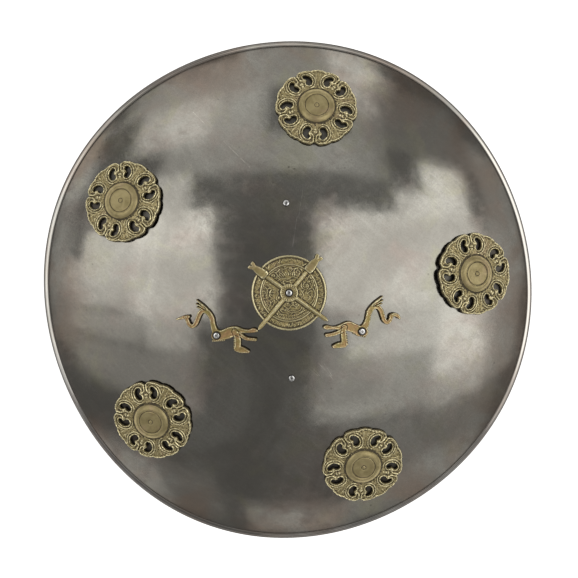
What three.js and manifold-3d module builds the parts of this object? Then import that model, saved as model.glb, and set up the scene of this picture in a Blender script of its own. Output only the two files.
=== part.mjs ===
// A round domed steel shield. Five pierced brass rosettes ring the dome, a round brass badge with two crossed
// swords sits on the apex, and a long-necked beast stands on either side of it. Five blind rivets show on the
// front, and two of them hold a strap grip inside the hollow.
// Millimetres. The shield lies on its rim, dome up. +Z is up, and +Y points to the top of the shield as it is
// carried. The origin is on the ground, at the middle of the rim.

import * as THREE from "three";
import { mergeVertices } from "three/addons/utils/BufferGeometryUtils.js";
import Module from "manifold-3d";

const wasm = await Module();
wasm.setup();

// Steel plate
const rimRadius = 225; // mean radius of the rim's foot
const plateThickness = 1.6;
const domeRise = 60; // from the crease above the lip to the apex
const lipDrop = 8; // height of the turned-down lip
const lipRun = 5; // how far the lip reaches outwards
// The rim was cut by hand, so its radius wanders: each wave has its lobes, its rise and where it peaks, in degrees
const rimWaves = [
  { lobes: 2, rise: 2.2, peak: 95 },
  { lobes: 3, rise: 0.8, peak: 30 },
  { lobes: 4, rise: 1.2, peak: 66 },
];
const domeSegments = 48;
const archSteps = 7;

// Gap between pieces that touch
const contactGap = 0.3;

// Rosettes
const rosetteRadius = 37;
const rosetteThickness = 2.2;
const rosetteDish = 3; // how far the middle of the plate rises above its edge
const rosetteBevel = 1.2;
const rosetteFolds = 5; // pairs of scrolls round the plate
const notchDepth = 2.6; // cut between the two scrolls of a pair
const notchWidth = 4; // in degrees
const scallopDepth = 0.8;
const scrollRadius = 26.2; // from the rosette's middle to a scroll's eye
const scrollSide = 4.6; // from the pair's own axis to a scroll's eye
const openingBend = 3.9; // radius of the bean-shaped opening's centre line, about the eye
const openingHalfWidth = 2.2;
const openingSpan = 82; // degrees that the opening reaches either way round its eye
const lipOfOpening = 1.1; // width of the raised lip round each opening
const lipHeight = 0.8;
const bossRadius = 16.5;
const bossHeight = 3;
const bossSides = 16;
const studRadius = 3;
const studSides = 8;
const studHeadRadius = 5;
const studHeadHeight = 1.2;
const rosetteInset = 57; // from the rim to the ring that the rosettes' middles were marked out on
const rosetteRing = rimRadius - rosetteInset; // radius of that ring
// Where each rosette sits: how far outside the ring it strayed, how high its edge stands above the plane that
// touches the dome there, then in degrees its bearing round the dome, the bearing of one of its notches, and how
// far it tips outwards from the dome's own slope
const rosettes = [
  { name: "rosette_right", outside: -2, standOff: 0.8, bearing: 5.4, turn: 27, lean: 3 },
  { name: "rosette_top", outside: -2, standOff: -0.9, bearing: 81.4, turn: 50, lean: 0 },
  { name: "rosette_left", outside: -0.4, standOff: 0.2, bearing: 151.5, turn: 26, lean: 2 },
  { name: "rosette_lower_left", outside: -0.4, standOff: -0.4, bearing: 223.4, turn: 27, lean: 1 },
  { name: "rosette_lower_right", outside: 1.6, standOff: -0.9, bearing: 293.1, turn: 52, lean: 0 },
];

// Badge with crossed swords
const badgeRadius = 33.3;
const badgeThickness = 2.4;
const badgeTurn = 7; // degrees that the badge is turned to the left
const badgeSides = 24;
const badgeRimWidth = 2.1;
const badgeRidgeHeight = 0.8;
const fieldRadius = 25; // middle of the ring between the band of strokes and the ornamented field
const hubRadius = 7.8;
const hubHeight = 0.9;
const swordHalfLength = 42.5;
const swordCross = 94; // degrees between the two blades, either side of the badge's foot
const bladeHalfWidth = 1.9;
const bladeHeight = 1.1; // above the badge's face
const hiltLength = 18;
const gripHalfWidth = 4.1; // of a sword's grip, where it is widest

// Beasts
const beastThickness = 3.4;
const beastBevel = 0.9;
// Where each beast's rivet sits, from the shield's middle, and how far the beast is turned to the left, in degrees
const beasts = [
  { name: "beast_left", side: -1, across: 63.4, below: 37.5, turn: 1.5 },
  { name: "beast_right", side: 1, across: 63.9, below: 34, turn: -3 },
];

// Blind rivets
const shankRadius = 1.6;
const shankClearance = 0.3;
const headRadius = 3.1;
const headHeight = 1.2;
const headDimple = 0.9; // radius of the mandrel's hole
const dimpleDepth = 0.7;
const tailRadius = 2.5;
const tailHeight = 2.6;
const rivetSides = 8;

// Grip
const gripSpan = 155; // between its two rivets
const gripShift = 1.5; // middle of the grip above the shield's middle
const gripTurn = 1.8; // degrees
const gripWidth = 22;
const gripThickness = 3;
const gripFoot = 11; // half the length of each foot
const fingerGap = 35; // between the bar and the inside of the apex
const gripBarHalf = 44; // half the length of the straight bar

const creaseRadius = rimRadius - lipRun;
const sphereRadius = (creaseRadius ** 2 + domeRise ** 2) / (2 * domeRise);
const sphereCentre = lipDrop + domeRise - sphereRadius;
// The flat facets of the dome lie this far below the sphere that they stand for
const facetWidth = Math.hypot(creaseRadius / archSteps, (2 * Math.PI * rosetteRing) / domeSegments);
const facetSag = facetWidth ** 2 / (8 * sphereRadius);
const insideOfPlate = -plateThickness - facetSag; // height of the inner face, in the frame of a seat

const steel = new THREE.MeshStandardMaterial({ color: 0x6b6862, roughness: 0.35, metalness: 1 });
const darkSteel = new THREE.MeshStandardMaterial({ color: 0x4b4844, roughness: 0.5, metalness: 1 });
const brightSteel = new THREE.MeshStandardMaterial({ color: 0xc9c9c6, roughness: 0.25, metalness: 1 });
const brass = new THREE.MeshStandardMaterial({ color: 0x8f8458, roughness: 0.45, metalness: 1 });
const redBrass = new THREE.MeshStandardMaterial({ color: 0xa07d55, roughness: 0.45, metalness: 1 });

const radians = THREE.MathUtils.degToRad;

// A point at a radius and a bearing in degrees
function polar(radius, bearing) {
  return new THREE.Vector2(radius * Math.cos(radians(bearing)), radius * Math.sin(radians(bearing)));
}

// Height of the dome's surface at a distance from the axis, on a sphere that lies `inset` inside the outer one
function domeHeight(radius, inset = 0) {
  return sphereCentre + Math.sqrt((sphereRadius - inset) ** 2 - radius ** 2);
}

// How far a flat face of this half size stands off the sphere that it touches
function seatSag(halfSize) {
  return halfSize ** 2 / (2 * (sphereRadius - plateThickness));
}

// A closed mesh as a solid that can be joined and cut
function solidOf(geometry) {
  const bare = geometry.clone();
  bare.deleteAttribute("normal");
  bare.deleteAttribute("uv");
  const merged = mergeVertices(bare, 1e-4);
  const corners = [];
  const index = merged.index.array;
  for (let i = 0; i < index.length; i += 3) {
    const [a, b, c] = [index[i], index[i + 1], index[i + 2]];
    if (a !== b && b !== c && c !== a) corners.push(a, b, c);
  }
  const mesh = new wasm.Mesh({
    numProp: 3,
    vertProperties: new Float32Array(merged.attributes.position.array),
    triVerts: new Uint32Array(corners),
  });
  return new wasm.Manifold(mesh);
}

// A joined or cut solid as a mesh again
function geometryOf(solid) {
  const { numProp, vertProperties, triVerts } = solid.getMesh();
  const positions = [];
  for (let i = 0; i < vertProperties.length; i += numProp) positions.push(...vertProperties.subarray(i, i + 3));
  const geometry = new THREE.BufferGeometry();
  geometry.setAttribute("position", new THREE.Float32BufferAttribute(positions, 3));
  geometry.setIndex([...triVerts]);
  geometry.computeVertexNormals();
  return geometry;
}

// A surface that is put together from level rings of points, strips between them, and caps
class RingSurface {
  constructor() {
    this.points = [];
    this.faces = [];
  }

  // A ring through plan points, at a height that may follow each point
  ring(plan, height) {
    const start = this.points.length;
    const heightAt = typeof height === "function" ? height : () => height;
    plan.forEach((p) => this.points.push(new THREE.Vector3(p.x, p.y, heightAt(p))));
    return plan.map((_, i) => start + i);
  }

  // Faces between two rings with as many points. Rings that run counter-clockwise face outwards when `to` is
  // above `from`, and upwards when `to` is inside it.
  strip(from, to) {
    from.forEach((a, i) => {
      const next = (i + 1) % from.length;
      this.faces.push([a, from[next], to[next]], [a, to[next], to[i]]);
    });
  }

  strips(...rings) {
    rings.slice(1).forEach((ring, i) => this.strip(rings[i], ring));
  }

  // Faces from a ring to one point on the axis
  fan(ring, height, facesUp) {
    const tip = this.points.length;
    this.points.push(new THREE.Vector3(0, 0, height));
    ring.forEach((a, i) => {
      const b = ring[(i + 1) % ring.length];
      this.faces.push(facesUp ? [a, b, tip] : [b, a, tip]);
    });
  }

  // A cap over the space between an outer ring and the rings of its openings
  cap(outer, openings, facesUp) {
    const all = [outer, ...openings];
    const flat = all.map((ring) => ring.map((i) => new THREE.Vector2(this.points[i].x, this.points[i].y)));
    const indices = all.flat();
    THREE.ShapeUtils.triangulateShape(flat[0], flat.slice(1)).forEach((corners) => {
      const [a, b, c] = corners.map((i) => indices[i]);
      const [p, q, r] = [a, b, c].map((i) => this.points[i]);
      const turnsLeft = (q.x - p.x) * (r.y - p.y) - (q.y - p.y) * (r.x - p.x) > 0;
      this.faces.push(turnsLeft === facesUp ? [a, b, c] : [a, c, b]);
    });
  }

  geometry() {
    const geometry = new THREE.BufferGeometry();
    const positions = this.points.flatMap((p) => p.toArray());
    geometry.setAttribute("position", new THREE.Float32BufferAttribute(positions, 3));
    geometry.setIndex(this.faces.flat());
    geometry.computeVertexNormals();
    return geometry;
  }
}

// A circle of plan points
function circle(radius, sides) {
  return Array.from({ length: sides }, (_, i) => polar(radius, (360 * i) / sides));
}

// The outline of a bent strip of varying width: stations are [x, y, half width] along its centre line
function ribbon(stations, inset = 0) {
  const sides = stations.map(([x, y, half], i) => {
    const before = stations[Math.max(i - 1, 0)];
    const after = stations[Math.min(i + 1, stations.length - 1)];
    const along = new THREE.Vector2(after[0] - before[0], after[1] - before[1]).normalize();
    const end = i === 0 ? inset : i === stations.length - 1 ? -inset : 0;
    const middle = new THREE.Vector2(x, y).addScaledVector(along, end);
    const across = new THREE.Vector2(-along.y, along.x).multiplyScalar(Math.max(half - inset, 0.15));
    return [middle.clone().sub(across), middle.clone().add(across)];
  });
  return [...sides.map(([right]) => right), ...sides.map(([, left]) => left).reverse()];
}

// A bent strip of metal with a bevelled upper edge
function bevelledStrip(stations, bottom, top, bevel) {
  const surface = new RingSurface();
  const foot = surface.ring(ribbon(stations), bottom);
  const shoulder = surface.ring(ribbon(stations), top - bevel);
  const crown = surface.ring(ribbon(stations, bevel), top);
  surface.strips(foot, shoulder, crown);
  surface.cap(foot, [], false);
  surface.cap(crown, [], true);
  return surface.geometry();
}

// The local frame of a piece on the dome: its plane touches the outer surface at a radius and bearing, tipped
// outwards by `lean`, and the piece is turned in that plane. Bearings and turns are seen from above.
function seat({ radius, bearing, turn = 0, lean = 0 }) {
  const onBearing = new THREE.Group();
  onBearing.rotation.z = radians(bearing);
  const onSlope = new THREE.Group();
  onSlope.position.set(radius, 0, domeHeight(radius));
  onSlope.rotation.y = Math.asin(radius / sphereRadius) + radians(lean);
  const turned = new THREE.Group();
  turned.rotation.z = radians(turn - bearing);
  onBearing.add(onSlope);
  onSlope.add(turned);
  onBearing.updateMatrixWorld(true);
  return { root: onBearing, frame: turned };
}

// The seat of a place given across and up the shield
function seatAt(across, up, turn = 0) {
  const place = new THREE.Vector2(across, up);
  return seat({ radius: place.length(), bearing: THREE.MathUtils.radToDeg(place.angle()), turn });
}

// A round cutter along Z, `reach` long, for something of this radius with its clearance
function shaftCutter(radius, reach, sides) {
  const cutter = new THREE.CylinderGeometry(radius + shankClearance, radius + shankClearance, reach, sides);
  return cutter.rotateX(Math.PI / 2);
}

// The same cutter along the axis of a seat
function seatCutter(at, radius, reach, sides) {
  return solidOf(shaftCutter(radius, reach, sides).applyMatrix4(at.frame.matrixWorld));
}

// Seats of everything that is fastened through the plate
const rosetteSeats = rosettes.map((r) => seat({ radius: rosetteRing + r.outside, ...r }));
const beastSeats = beasts.map((b) => seatAt(b.side * b.across, -b.below, b.turn));
const badgeSeat = seat({ radius: 0, bearing: 0, turn: badgeTurn });
const gripMiddle = new THREE.Vector2(0, gripShift);
const gripEnds = [1, -1].map((end) => polar((end * gripSpan) / 2, 90 + gripTurn).add(gripMiddle));
const gripSeats = gripEnds.map((p) => seatAt(p.x, p.y, gripTurn));

// How far the hand-cut rim lies outside its mean radius at a bearing, in radians
function rimDeviation(bearing) {
  const waves = rimWaves.map(({ lobes, rise, peak }) => rise * Math.cos(lobes * (bearing - radians(peak))));
  return waves.reduce((sum, wave) => sum + wave, 0);
}

// The dome with its turned-down lip, one sheet of even thickness with holes for the studs and rivets
function shieldPlate() {
  const slope = Math.asin(creaseRadius / sphereRadius);
  const lipLength = Math.hypot(lipRun, lipDrop);
  const domeNormal = new THREE.Vector2(Math.sin(slope), Math.cos(slope));
  const lipNormal = new THREE.Vector2(lipDrop, lipRun).divideScalar(lipLength);
  const mitre = domeNormal.clone().add(lipNormal).multiplyScalar(plateThickness / (1 + domeNormal.dot(lipNormal)));
  const footWidth = (plateThickness * lipLength) / lipDrop;

  const surface = new RingSurface();
  const bearings = Array.from({ length: domeSegments }, (_, i) => (2 * Math.PI * i) / domeSegments);
  const around = (radius, share, height) => {
    const plan = bearings.map((b) => {
      const reach = share * (radius + rimDeviation(b));
      return new THREE.Vector2(reach * Math.cos(b), reach * Math.sin(b));
    });
    return surface.ring(plan, height);
  };
  const arch = (edge, inset) =>
    Array.from({ length: archSteps }, (_, i) => {
      return around(edge, (i + 1) / archSteps, (p) => domeHeight(p.length(), inset));
    });
  const inside = arch(creaseRadius - mitre.x, plateThickness);
  const foot = [around(rimRadius - footWidth, 1, 0), around(rimRadius, 1, 0)];
  const outside = arch(creaseRadius, 0).reverse();
  surface.strips(...inside, ...foot, ...outside);
  surface.fan(inside[0], domeHeight(0, plateThickness), false);
  surface.fan(outside[archSteps - 1], domeHeight(0), true);

  let plate = solidOf(surface.geometry());
  const reach = 6 * plateThickness;
  [badgeSeat, ...beastSeats, ...gripSeats].forEach((at) => {
    plate = plate.subtract(seatCutter(at, shankRadius, reach, rivetSides));
  });
  rosetteSeats.forEach((at) => {
    plate = plate.subtract(seatCutter(at, studRadius, reach, studSides));
  });
  return geometryOf(plate);
}

// Radius of a rosette's outline at an angle from a notch: a notch, then scallops as far as the next notch
function rosetteEdge(angle) {
  const fold = 360 / rosetteFolds;
  const fromNotch = Math.abs(THREE.MathUtils.euclideanModulo(angle + fold / 2, fold) - fold / 2);
  const notch = notchDepth * Math.exp(-((fromNotch / notchWidth) ** 2));
  const scallop = scallopDepth * (0.5 - 0.5 * Math.cos((fromNotch / fold) * 6 * Math.PI));
  return rosetteRadius - notch - scallop * (fromNotch > 2 * notchWidth ? 1 : 0);
}

function rosetteOutline(inset) {
  const fold = 360 / rosetteFolds;
  const offsets = [0, 4, 11, 19, 27, 36, 45, 53, 61, 68];
  return Array.from({ length: rosetteFolds }, (_, k) =>
    offsets.map((offset) => polar(rosetteEdge(offset) - inset, k * fold + offset)),
  ).flat();
}

// One bean-shaped opening, bent round a scroll's eye and grown by a margin. It runs clockwise, as a hole does.
function openingOutline(notchBearing, side, margin) {
  const outerRadius = openingBend + openingHalfWidth + margin;
  const innerRadius = openingBend - openingHalfWidth - 0.8 * margin;
  const reach = openingSpan + (margin / openingBend) * 12;
  const outerArc = [-1, -0.5, 0, 0.5, 1].map((share) => polar(outerRadius, share * reach));
  const innerArc = [0.62, 0, -0.62].map((share) => polar(innerRadius, share * reach));
  const eye = new THREE.Vector2(scrollSide - 0.4 * margin, scrollRadius);
  const bean = [...outerArc, ...innerArc].map((p) => p.add(eye));
  const sided = bean.map((p) => new THREE.Vector2(side * p.x, p.y));
  const clockwise = side > 0 ? sided.reverse() : sided;
  return clockwise.map((p) => p.rotateAround(new THREE.Vector2(), radians(notchBearing - 90)));
}

// A pierced, dished rosette, cast in one with the stud that goes through the plate and is hammered over inside
function rosette(standOff, lean) {
  const surface = new RingSurface();
  const dish = (p) => rosetteDish * (1 - (p.length() / rosetteRadius) ** 2);
  const back = (p) => standOff + dish(p);
  const face = (p) => back(p) + rosetteThickness;

  const backEdge = surface.ring(rosetteOutline(0), back);
  const shoulder = surface.ring(rosetteOutline(0), (p) => face(p) - rosetteBevel);
  const faceEdge = surface.ring(rosetteOutline(rosetteBevel), face);
  surface.strips(backEdge, shoulder, faceEdge);

  const openings = [];
  for (let k = 0; k < rosetteFolds; k++) {
    for (const side of [1, -1]) {
      const bearing = (360 * k) / rosetteFolds;
      const low = surface.ring(openingOutline(bearing, side, 0), back);
      const crest = surface.ring(openingOutline(bearing, side, 0.35 * lipOfOpening), (p) => face(p) + lipHeight);
      const outside = surface.ring(openingOutline(bearing, side, lipOfOpening), face);
      surface.strips(low, crest, outside);
      openings.push({ low, outside });
    }
  }

  const bossStep = (radius, height) => surface.ring(circle(radius, bossSides), rosetteDish + height);
  const bossFoot = surface.ring(circle(bossRadius, bossSides), face);
  const faceAtMiddle = standOff + rosetteThickness;
  const bossCrest = bossStep(0.9 * bossRadius, faceAtMiddle + 0.8 * bossHeight);
  const bossBrow = bossStep(0.76 * bossRadius, faceAtMiddle + bossHeight);
  const bossGroove = bossStep(0.7 * bossRadius, faceAtMiddle + 0.6 * bossHeight);
  surface.strips(bossFoot, bossCrest, bossBrow, bossGroove);
  surface.cap(bossGroove, [], true);
  surface.cap(faceEdge, [...openings.map((o) => o.outside), [...bossFoot].reverse()], true);

  const studTop = surface.ring(circle(studRadius, studSides), back);
  const underPlate = insideOfPlate - contactGap - studHeadRadius * Math.sin(radians(lean));
  const studFoot = surface.ring(circle(studRadius, studSides), underPlate);
  const headTop = surface.ring(circle(studHeadRadius, studSides), underPlate);
  const headFoot = surface.ring(circle(0.8 * studHeadRadius, studSides), underPlate - studHeadHeight);
  surface.strips(headFoot, headTop, studFoot, studTop);
  surface.cap(headFoot, [], false);
  surface.cap(backEdge, [...openings.map((o) => o.low), [...studTop].reverse()], false);
  return surface.geometry();
}

// A sword that lies along +X: a cupped pommel, a grip that swells towards the guard, and a ridged blade
function sword() {
  const pommel = -swordHalfLength;
  const guard = pommel + hiltLength;
  // Stations along the hilt, as a share of its length, and half widths, as a share of the widest
  const hilt = [
    [0, 0.9],
    [0.14, 0.83],
    [0.28, 0.61],
    [0.67, 0.95],
    [0.89, 1],
    [1, 0.63],
  ].map(([along, width]) => [pommel + along * hiltLength, 0, width * gripHalfWidth]);
  const blade = [
    [guard - 1, 0, bladeHalfWidth],
    [swordHalfLength - 5, 0, bladeHalfWidth],
    [swordHalfLength, 0, 0.5],
  ];
  const top = badgeThickness + bladeHeight;
  const bladeSolid = solidOf(bevelledStrip(blade, contactGap, top, 0.6));
  return bladeSolid.add(solidOf(bevelledStrip(hilt, contactGap, top + 0.5, 0.9)));
}

// The round badge: a rim, a band for marks, a field and a raised hub, with the two swords across it
function badge() {
  const face = contactGap + badgeThickness;
  const ridge = face + badgeRidgeHeight;
  const hole = shankRadius + shankClearance;
  const profile = [
    [hole, contactGap],
    [badgeRadius, contactGap],
    [badgeRadius, face],
    [badgeRadius - 0.5 * badgeRimWidth, ridge],
    [badgeRadius - badgeRimWidth, face],
    [fieldRadius + 0.8, face],
    [fieldRadius, face + 0.7 * badgeRidgeHeight],
    [fieldRadius - 0.8, face],
    [hubRadius, face],
    [hubRadius - 1, face + hubHeight],
    [hole, face + hubHeight],
    [hole, contactGap],
  ].map(([radius, height]) => new THREE.Vector2(radius, height));
  const turned = new THREE.LatheGeometry(profile, badgeSides);
  turned.rotateX(Math.PI / 2);
  let solid = solidOf(turned);
  const shaft = shaftCutter(shankRadius, 8 * badgeThickness, rivetSides);
  const pointsDown = [-90 + swordCross / 2, -90 - swordCross / 2];
  pointsDown.forEach((bearing) => {
    solid = solid.add(sword().rotate([0, 0, bearing]));
  });
  return geometryOf(solid.subtract(solidOf(shaft)));
}

// The two beasts, which were modelled one by one. Each limb is a bent strip, and its stations are [x, y, half width]
// from the rivet, with the head towards -X.
const leftBeast = {
  neck: [
    [2.5, -0.5, 4.2],
    [-1.5, 4.2, 2.8],
    [-3.1, 10, 2.3],
    [-3.8, 15, 2.3],
    [-7.2, 20.6, 2.4],
    [-11.6, 21.9, 2.2],
    [-14.4, 19.4, 2.2],
    [-16.7, 14.4, 2.1],
    [-18.5, 10.6, 2],
    [-21.4, 8.3, 1.9],
    [-24.5, 10.2, 1.8],
    [-26.6, 16, 1.7],
  ],
  head: [
    [-24.8, 16.9, 1.5],
    [-28.6, 16.4, 1.6],
    [-35.4, 14.7, 0.7],
  ],
  body: [
    [-0.9, -0.5, 4],
    [6.5, 0.5, 4.5],
    [12.4, 2.6, 4.8],
    [17.8, 4.5, 3.2],
    [23.2, 3.6, 2],
    [29, 3.3, 1.6],
    [33, 4, 2.1],
    [35.8, 3.7, 1.2],
  ],
  raisedLeg: [
    [15.5, 2.6, 2.4],
    [21, 0.2, 2],
    [26.4, -3.3, 1.6],
    [34.4, -4.3, 1.4],
  ],
  standingLeg: [
    [16.4, 3, 2.8],
    [18.8, -3.6, 2.8],
    [18.4, -11.4, 2.8],
  ],
  paw: [
    [17.7, -12.2, 2.7],
    [22, -13.2, 2.9],
    [27.8, -14.9, 1.3],
  ],
};
const rightBeast = {
  neck: [
    [2.5, -0.5, 4.2],
    [-2.4, 4.2, 3],
    [-4.6, 10, 2.5],
    [-5.2, 15, 2.4],
    [-7.8, 20.8, 2.5],
    [-12, 22.6, 2.2],
    [-15.6, 19.8, 2.2],
    [-17.8, 14.8, 2.1],
    [-19.4, 10.8, 2],
    [-22, 8.8, 1.9],
    [-24.7, 10.6, 1.8],
    [-26.2, 15.2, 1.7],
  ],
  head: [
    [-25.2, 14.4, 1.6],
    [-28.2, 15.9, 1.7],
    [-31.4, 15, 1.7],
    [-33.2, 13, 1.1],
  ],
  body: [
    [-2.2, -0.6, 3.9],
    [6.8, 2.3, 4.2],
    [12.4, 4, 4.4],
    [19.5, 2.8, 2.4],
    [25.6, 2, 1.4],
    [31.2, 2.2, 2.1],
    [33.4, 2.2, 1.5],
  ],
  raisedLeg: [
    [15.5, 1.5, 2.4],
    [19.2, -0.8, 2],
    [25.2, -3.6, 1.8],
    [31.4, -4.9, 1.6],
  ],
  standingLeg: [
    [15.9, 3, 2.6],
    [16.4, -3, 2.5],
    [15, -11.6, 2.6],
  ],
  paw: [
    [15.2, -12.6, 2.6],
    [19.8, -13.3, 2.6],
    [24.2, -14.6, 1.6],
  ],
};
const crest = [
  [[-4.6, 17.4, 1.5], [-10, 25, 1.5], [-16.9, 31.7, 0.6]],
  [[-7.4, 20.6, 1.5], [-17.4, 28.4, 0.6]],
  [[-9.4, 21.4, 1.3], [-16.8, 25.4, 0.6]],
];

// One beast, flat and cut as if from a thick sheet, with its rivet at the origin
function beast(side) {
  const drawn = side < 0 ? leftBeast : rightBeast;
  const limbs = [
    { stations: drawn.neck, thickness: beastThickness },
    { stations: drawn.head, thickness: 0.9 * beastThickness },
    ...crest.map((stations) => ({ stations, thickness: 0.8 * beastThickness })),
    { stations: drawn.body, thickness: 1.1 * beastThickness },
    { stations: drawn.raisedLeg, thickness: 0.85 * beastThickness },
    { stations: drawn.standingLeg, thickness: 0.95 * beastThickness },
    { stations: drawn.paw, thickness: 0.85 * beastThickness },
  ];
  let solid;
  limbs.forEach(({ stations, thickness }) => {
    const facing = stations.map(([x, y, half]) => [-side * x, y, half]);
    const narrowest = Math.min(...facing.map(([, , half]) => half));
    const bevel = Math.min(beastBevel, 0.7 * narrowest);
    const limb = solidOf(bevelledStrip(facing, contactGap, contactGap + thickness, bevel));
    solid = solid ? solid.add(limb) : limb;
  });
  return geometryOf(solid.subtract(solidOf(shaftCutter(shankRadius, 4 * beastThickness, rivetSides))));
}

// A blind rivet from the face that its head sits on, down through everything to its spread tail.
// `face` and `under` are the heights of the outermost faces that it clamps.
function rivet(face, under) {
  const seatTop = face + contactGap;
  const tailTop = under - contactGap;
  const profile = [
    [0, tailTop - tailHeight],
    [0.7 * tailRadius, tailTop - tailHeight],
    [tailRadius, tailTop],
    [shankRadius, tailTop],
    [shankRadius, seatTop],
    [headRadius, seatTop],
    [0.72 * headRadius, seatTop + headHeight],
    [headDimple, seatTop + headHeight],
    [headDimple, seatTop + headHeight - dimpleDepth],
    [0, seatTop + headHeight - dimpleDepth],
  ].map(([radius, height]) => new THREE.Vector2(radius, height));
  const turned = new THREE.LatheGeometry(profile, rivetSides);
  turned.rotateX(Math.PI / 2);
  return turned;
}

// The strap grip: two feet on the inside of the dome and a straight bar between them, bent from one flat bar
const footSag = seatSag(Math.hypot(gripFoot, gripWidth / 2));
const footTop = contactGap + footSag - insideOfPlate; // below the outer surface, along the seat's own axis
function grip() {
  const slope = Math.asin(gripSpan / 2 / sphereRadius);
  const half = gripThickness / 2;
  const seatDepth = footTop + half;
  const footMiddle = [
    gripSpan / 2 - seatDepth * Math.sin(slope),
    domeHeight(gripSpan / 2) - seatDepth * Math.cos(slope),
  ];
  const alongFoot = (distance) => [
    footMiddle[0] + distance * Math.cos(slope),
    footMiddle[1] - distance * Math.sin(slope),
  ];
  const barHeight = domeHeight(0, plateThickness) - fingerGap - half;
  const heel = alongFoot(-gripFoot);
  const shank = [
    [0.55 * heel[0] + 0.45 * gripBarHalf, 0.5 * (heel[1] + barHeight)],
    [gripBarHalf + 3, barHeight + 3.5],
    [gripBarHalf - 3, barHeight],
  ];
  const rightHalf = [alongFoot(gripFoot), heel, ...shank];
  const leftHalf = rightHalf.map(([along, height]) => [-along, height]).reverse();
  const sideView = ribbon([...rightHalf, ...leftHalf].map(([along, height]) => [along, height, half]));
  const bent = new THREE.ExtrudeGeometry(new THREE.Shape(sideView), { depth: gripWidth, bevelEnabled: false });
  bent.translate(0, 0, -gripWidth / 2);
  const axes = [new THREE.Vector3(0, 1, 0), new THREE.Vector3(0, 0, 1), new THREE.Vector3(1, 0, 0)];
  bent.applyMatrix4(new THREE.Matrix4().makeBasis(...axes));

  // Seen from above the strap has round ends
  const roundEnd = gripWidth / 2;
  const plan = new THREE.Shape();
  const endCentre = alongFoot(gripFoot)[0] - roundEnd;
  plan.absarc(0, endCentre, roundEnd, 0, Math.PI);
  plan.absarc(0, -endCentre, roundEnd, Math.PI, 2 * Math.PI);
  const planSolid = new THREE.ExtrudeGeometry(plan, { depth: rimRadius, bevelEnabled: false, curveSegments: 6 });
  const strap = solidOf(bent).intersect(solidOf(planSolid));
  const placed = strap.rotate([0, 0, gripTurn]).translate([0, gripShift, 0]);
  const holes = gripSeats.map((at) => seatCutter(at, shankRadius, 10 * gripThickness, rivetSides));
  return geometryOf(holes.reduce((rest, hole) => rest.subtract(hole), placed));
}

const shield = new THREE.Group();

// Adds a named piece, in a seat's frame or in the shield's own
function addPiece(name, geometry, material, at) {
  const mesh = new THREE.Mesh(geometry, material);
  mesh.name = name;
  if (at) {
    at.frame.add(mesh);
    shield.add(at.root);
  } else {
    shield.add(mesh);
  }
  return mesh;
}

const plate = addPiece("shield_plate", shieldPlate(), steel);
rosettes.forEach(({ name, standOff, lean }, i) => {
  addPiece(name, rosette(standOff, lean), brass, rosetteSeats[i]);
});
addPiece("sword_badge", badge(), brass, badgeSeat);
beasts.forEach(({ name, side }, i) => addPiece(name, beast(side), redBrass, beastSeats[i]));
addPiece("grip", grip(), darkSteel);

const badgeFace = contactGap + badgeThickness + hubHeight;
addPiece("rivet_badge", rivet(badgeFace, insideOfPlate), brightSteel, badgeSeat);
const beastFace = contactGap + 1.1 * beastThickness;
beasts.forEach(({ name }, i) => {
  addPiece(`rivet_${name}`, rivet(beastFace, insideOfPlate), brightSteel, beastSeats[i]);
});
["rivet_grip_top", "rivet_grip_bottom"].forEach((name, i) => {
  addPiece(name, rivet(0, -footTop - gripThickness), brightSteel, gripSeats[i]);
});

// The origin is under the middle of the plate as it was cut, out of round
const extent = new THREE.Box3().setFromObject(plate);
const middle = extent.getCenter(new THREE.Vector3());
shield.position.set(-middle.x, -middle.y, 0);

export default shield;
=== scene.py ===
"""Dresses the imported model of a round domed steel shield: its hand-raised plate, cast rosettes, badge and
beasts, blind rivets and strap grip, on a plain pale floor under soft studio light.

Lengths are millimetres in each piece's own frame and metres in the scene."""

import logging
import math
from dataclasses import dataclass, field
from enum import Enum
from typing import Callable, Iterable, Sequence

import bpy
import numpy as np
from mathutils import Matrix, Vector


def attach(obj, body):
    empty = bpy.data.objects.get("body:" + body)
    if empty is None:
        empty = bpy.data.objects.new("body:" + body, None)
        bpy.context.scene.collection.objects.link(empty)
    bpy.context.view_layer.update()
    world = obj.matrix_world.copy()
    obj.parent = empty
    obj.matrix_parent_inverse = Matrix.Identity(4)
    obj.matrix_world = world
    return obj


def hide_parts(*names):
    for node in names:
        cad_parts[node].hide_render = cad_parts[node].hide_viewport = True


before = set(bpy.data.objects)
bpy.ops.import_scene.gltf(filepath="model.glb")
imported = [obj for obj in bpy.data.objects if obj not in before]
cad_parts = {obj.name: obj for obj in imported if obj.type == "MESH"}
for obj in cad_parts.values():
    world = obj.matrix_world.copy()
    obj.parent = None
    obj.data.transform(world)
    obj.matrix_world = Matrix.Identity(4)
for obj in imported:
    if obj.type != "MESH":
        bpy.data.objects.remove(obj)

log = logging.getLogger("shield")
MILLIMETRE = 0.001
FAR = 1e9  # farther than any line of the drawing
Array = np.ndarray
Field = Callable[[Array, Array], Array]
Faces = list[tuple[int, ...]]
Station = tuple[float, float, float]
Colour = tuple[float, float, float, float]
Socket = bpy.types.NodeSocket


class Slot(Enum):
    """The material slots, one for each kind of piece."""

    PLATE = "plate_steel"
    GRIP = "grip_steel"
    ROSETTE = "rosette_brass"
    BADGE = "badge_brass"
    BEAST = "beast_brass"
    RIVET = "rivet_steel"


class Side(Enum):
    """Which way a beast looks: outwards to the left or to the right."""

    LEFT = -1
    RIGHT = 1


# Numbers and fields


def smooth(low: float, high: float, value: Array | float) -> Array:
    """Rises smoothly from 0 to 1 as a value goes from low to high."""
    t = np.clip((value - low) / (high - low), 0.0, 1.0)
    return t * t * (3.0 - 2.0 * t)


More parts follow.
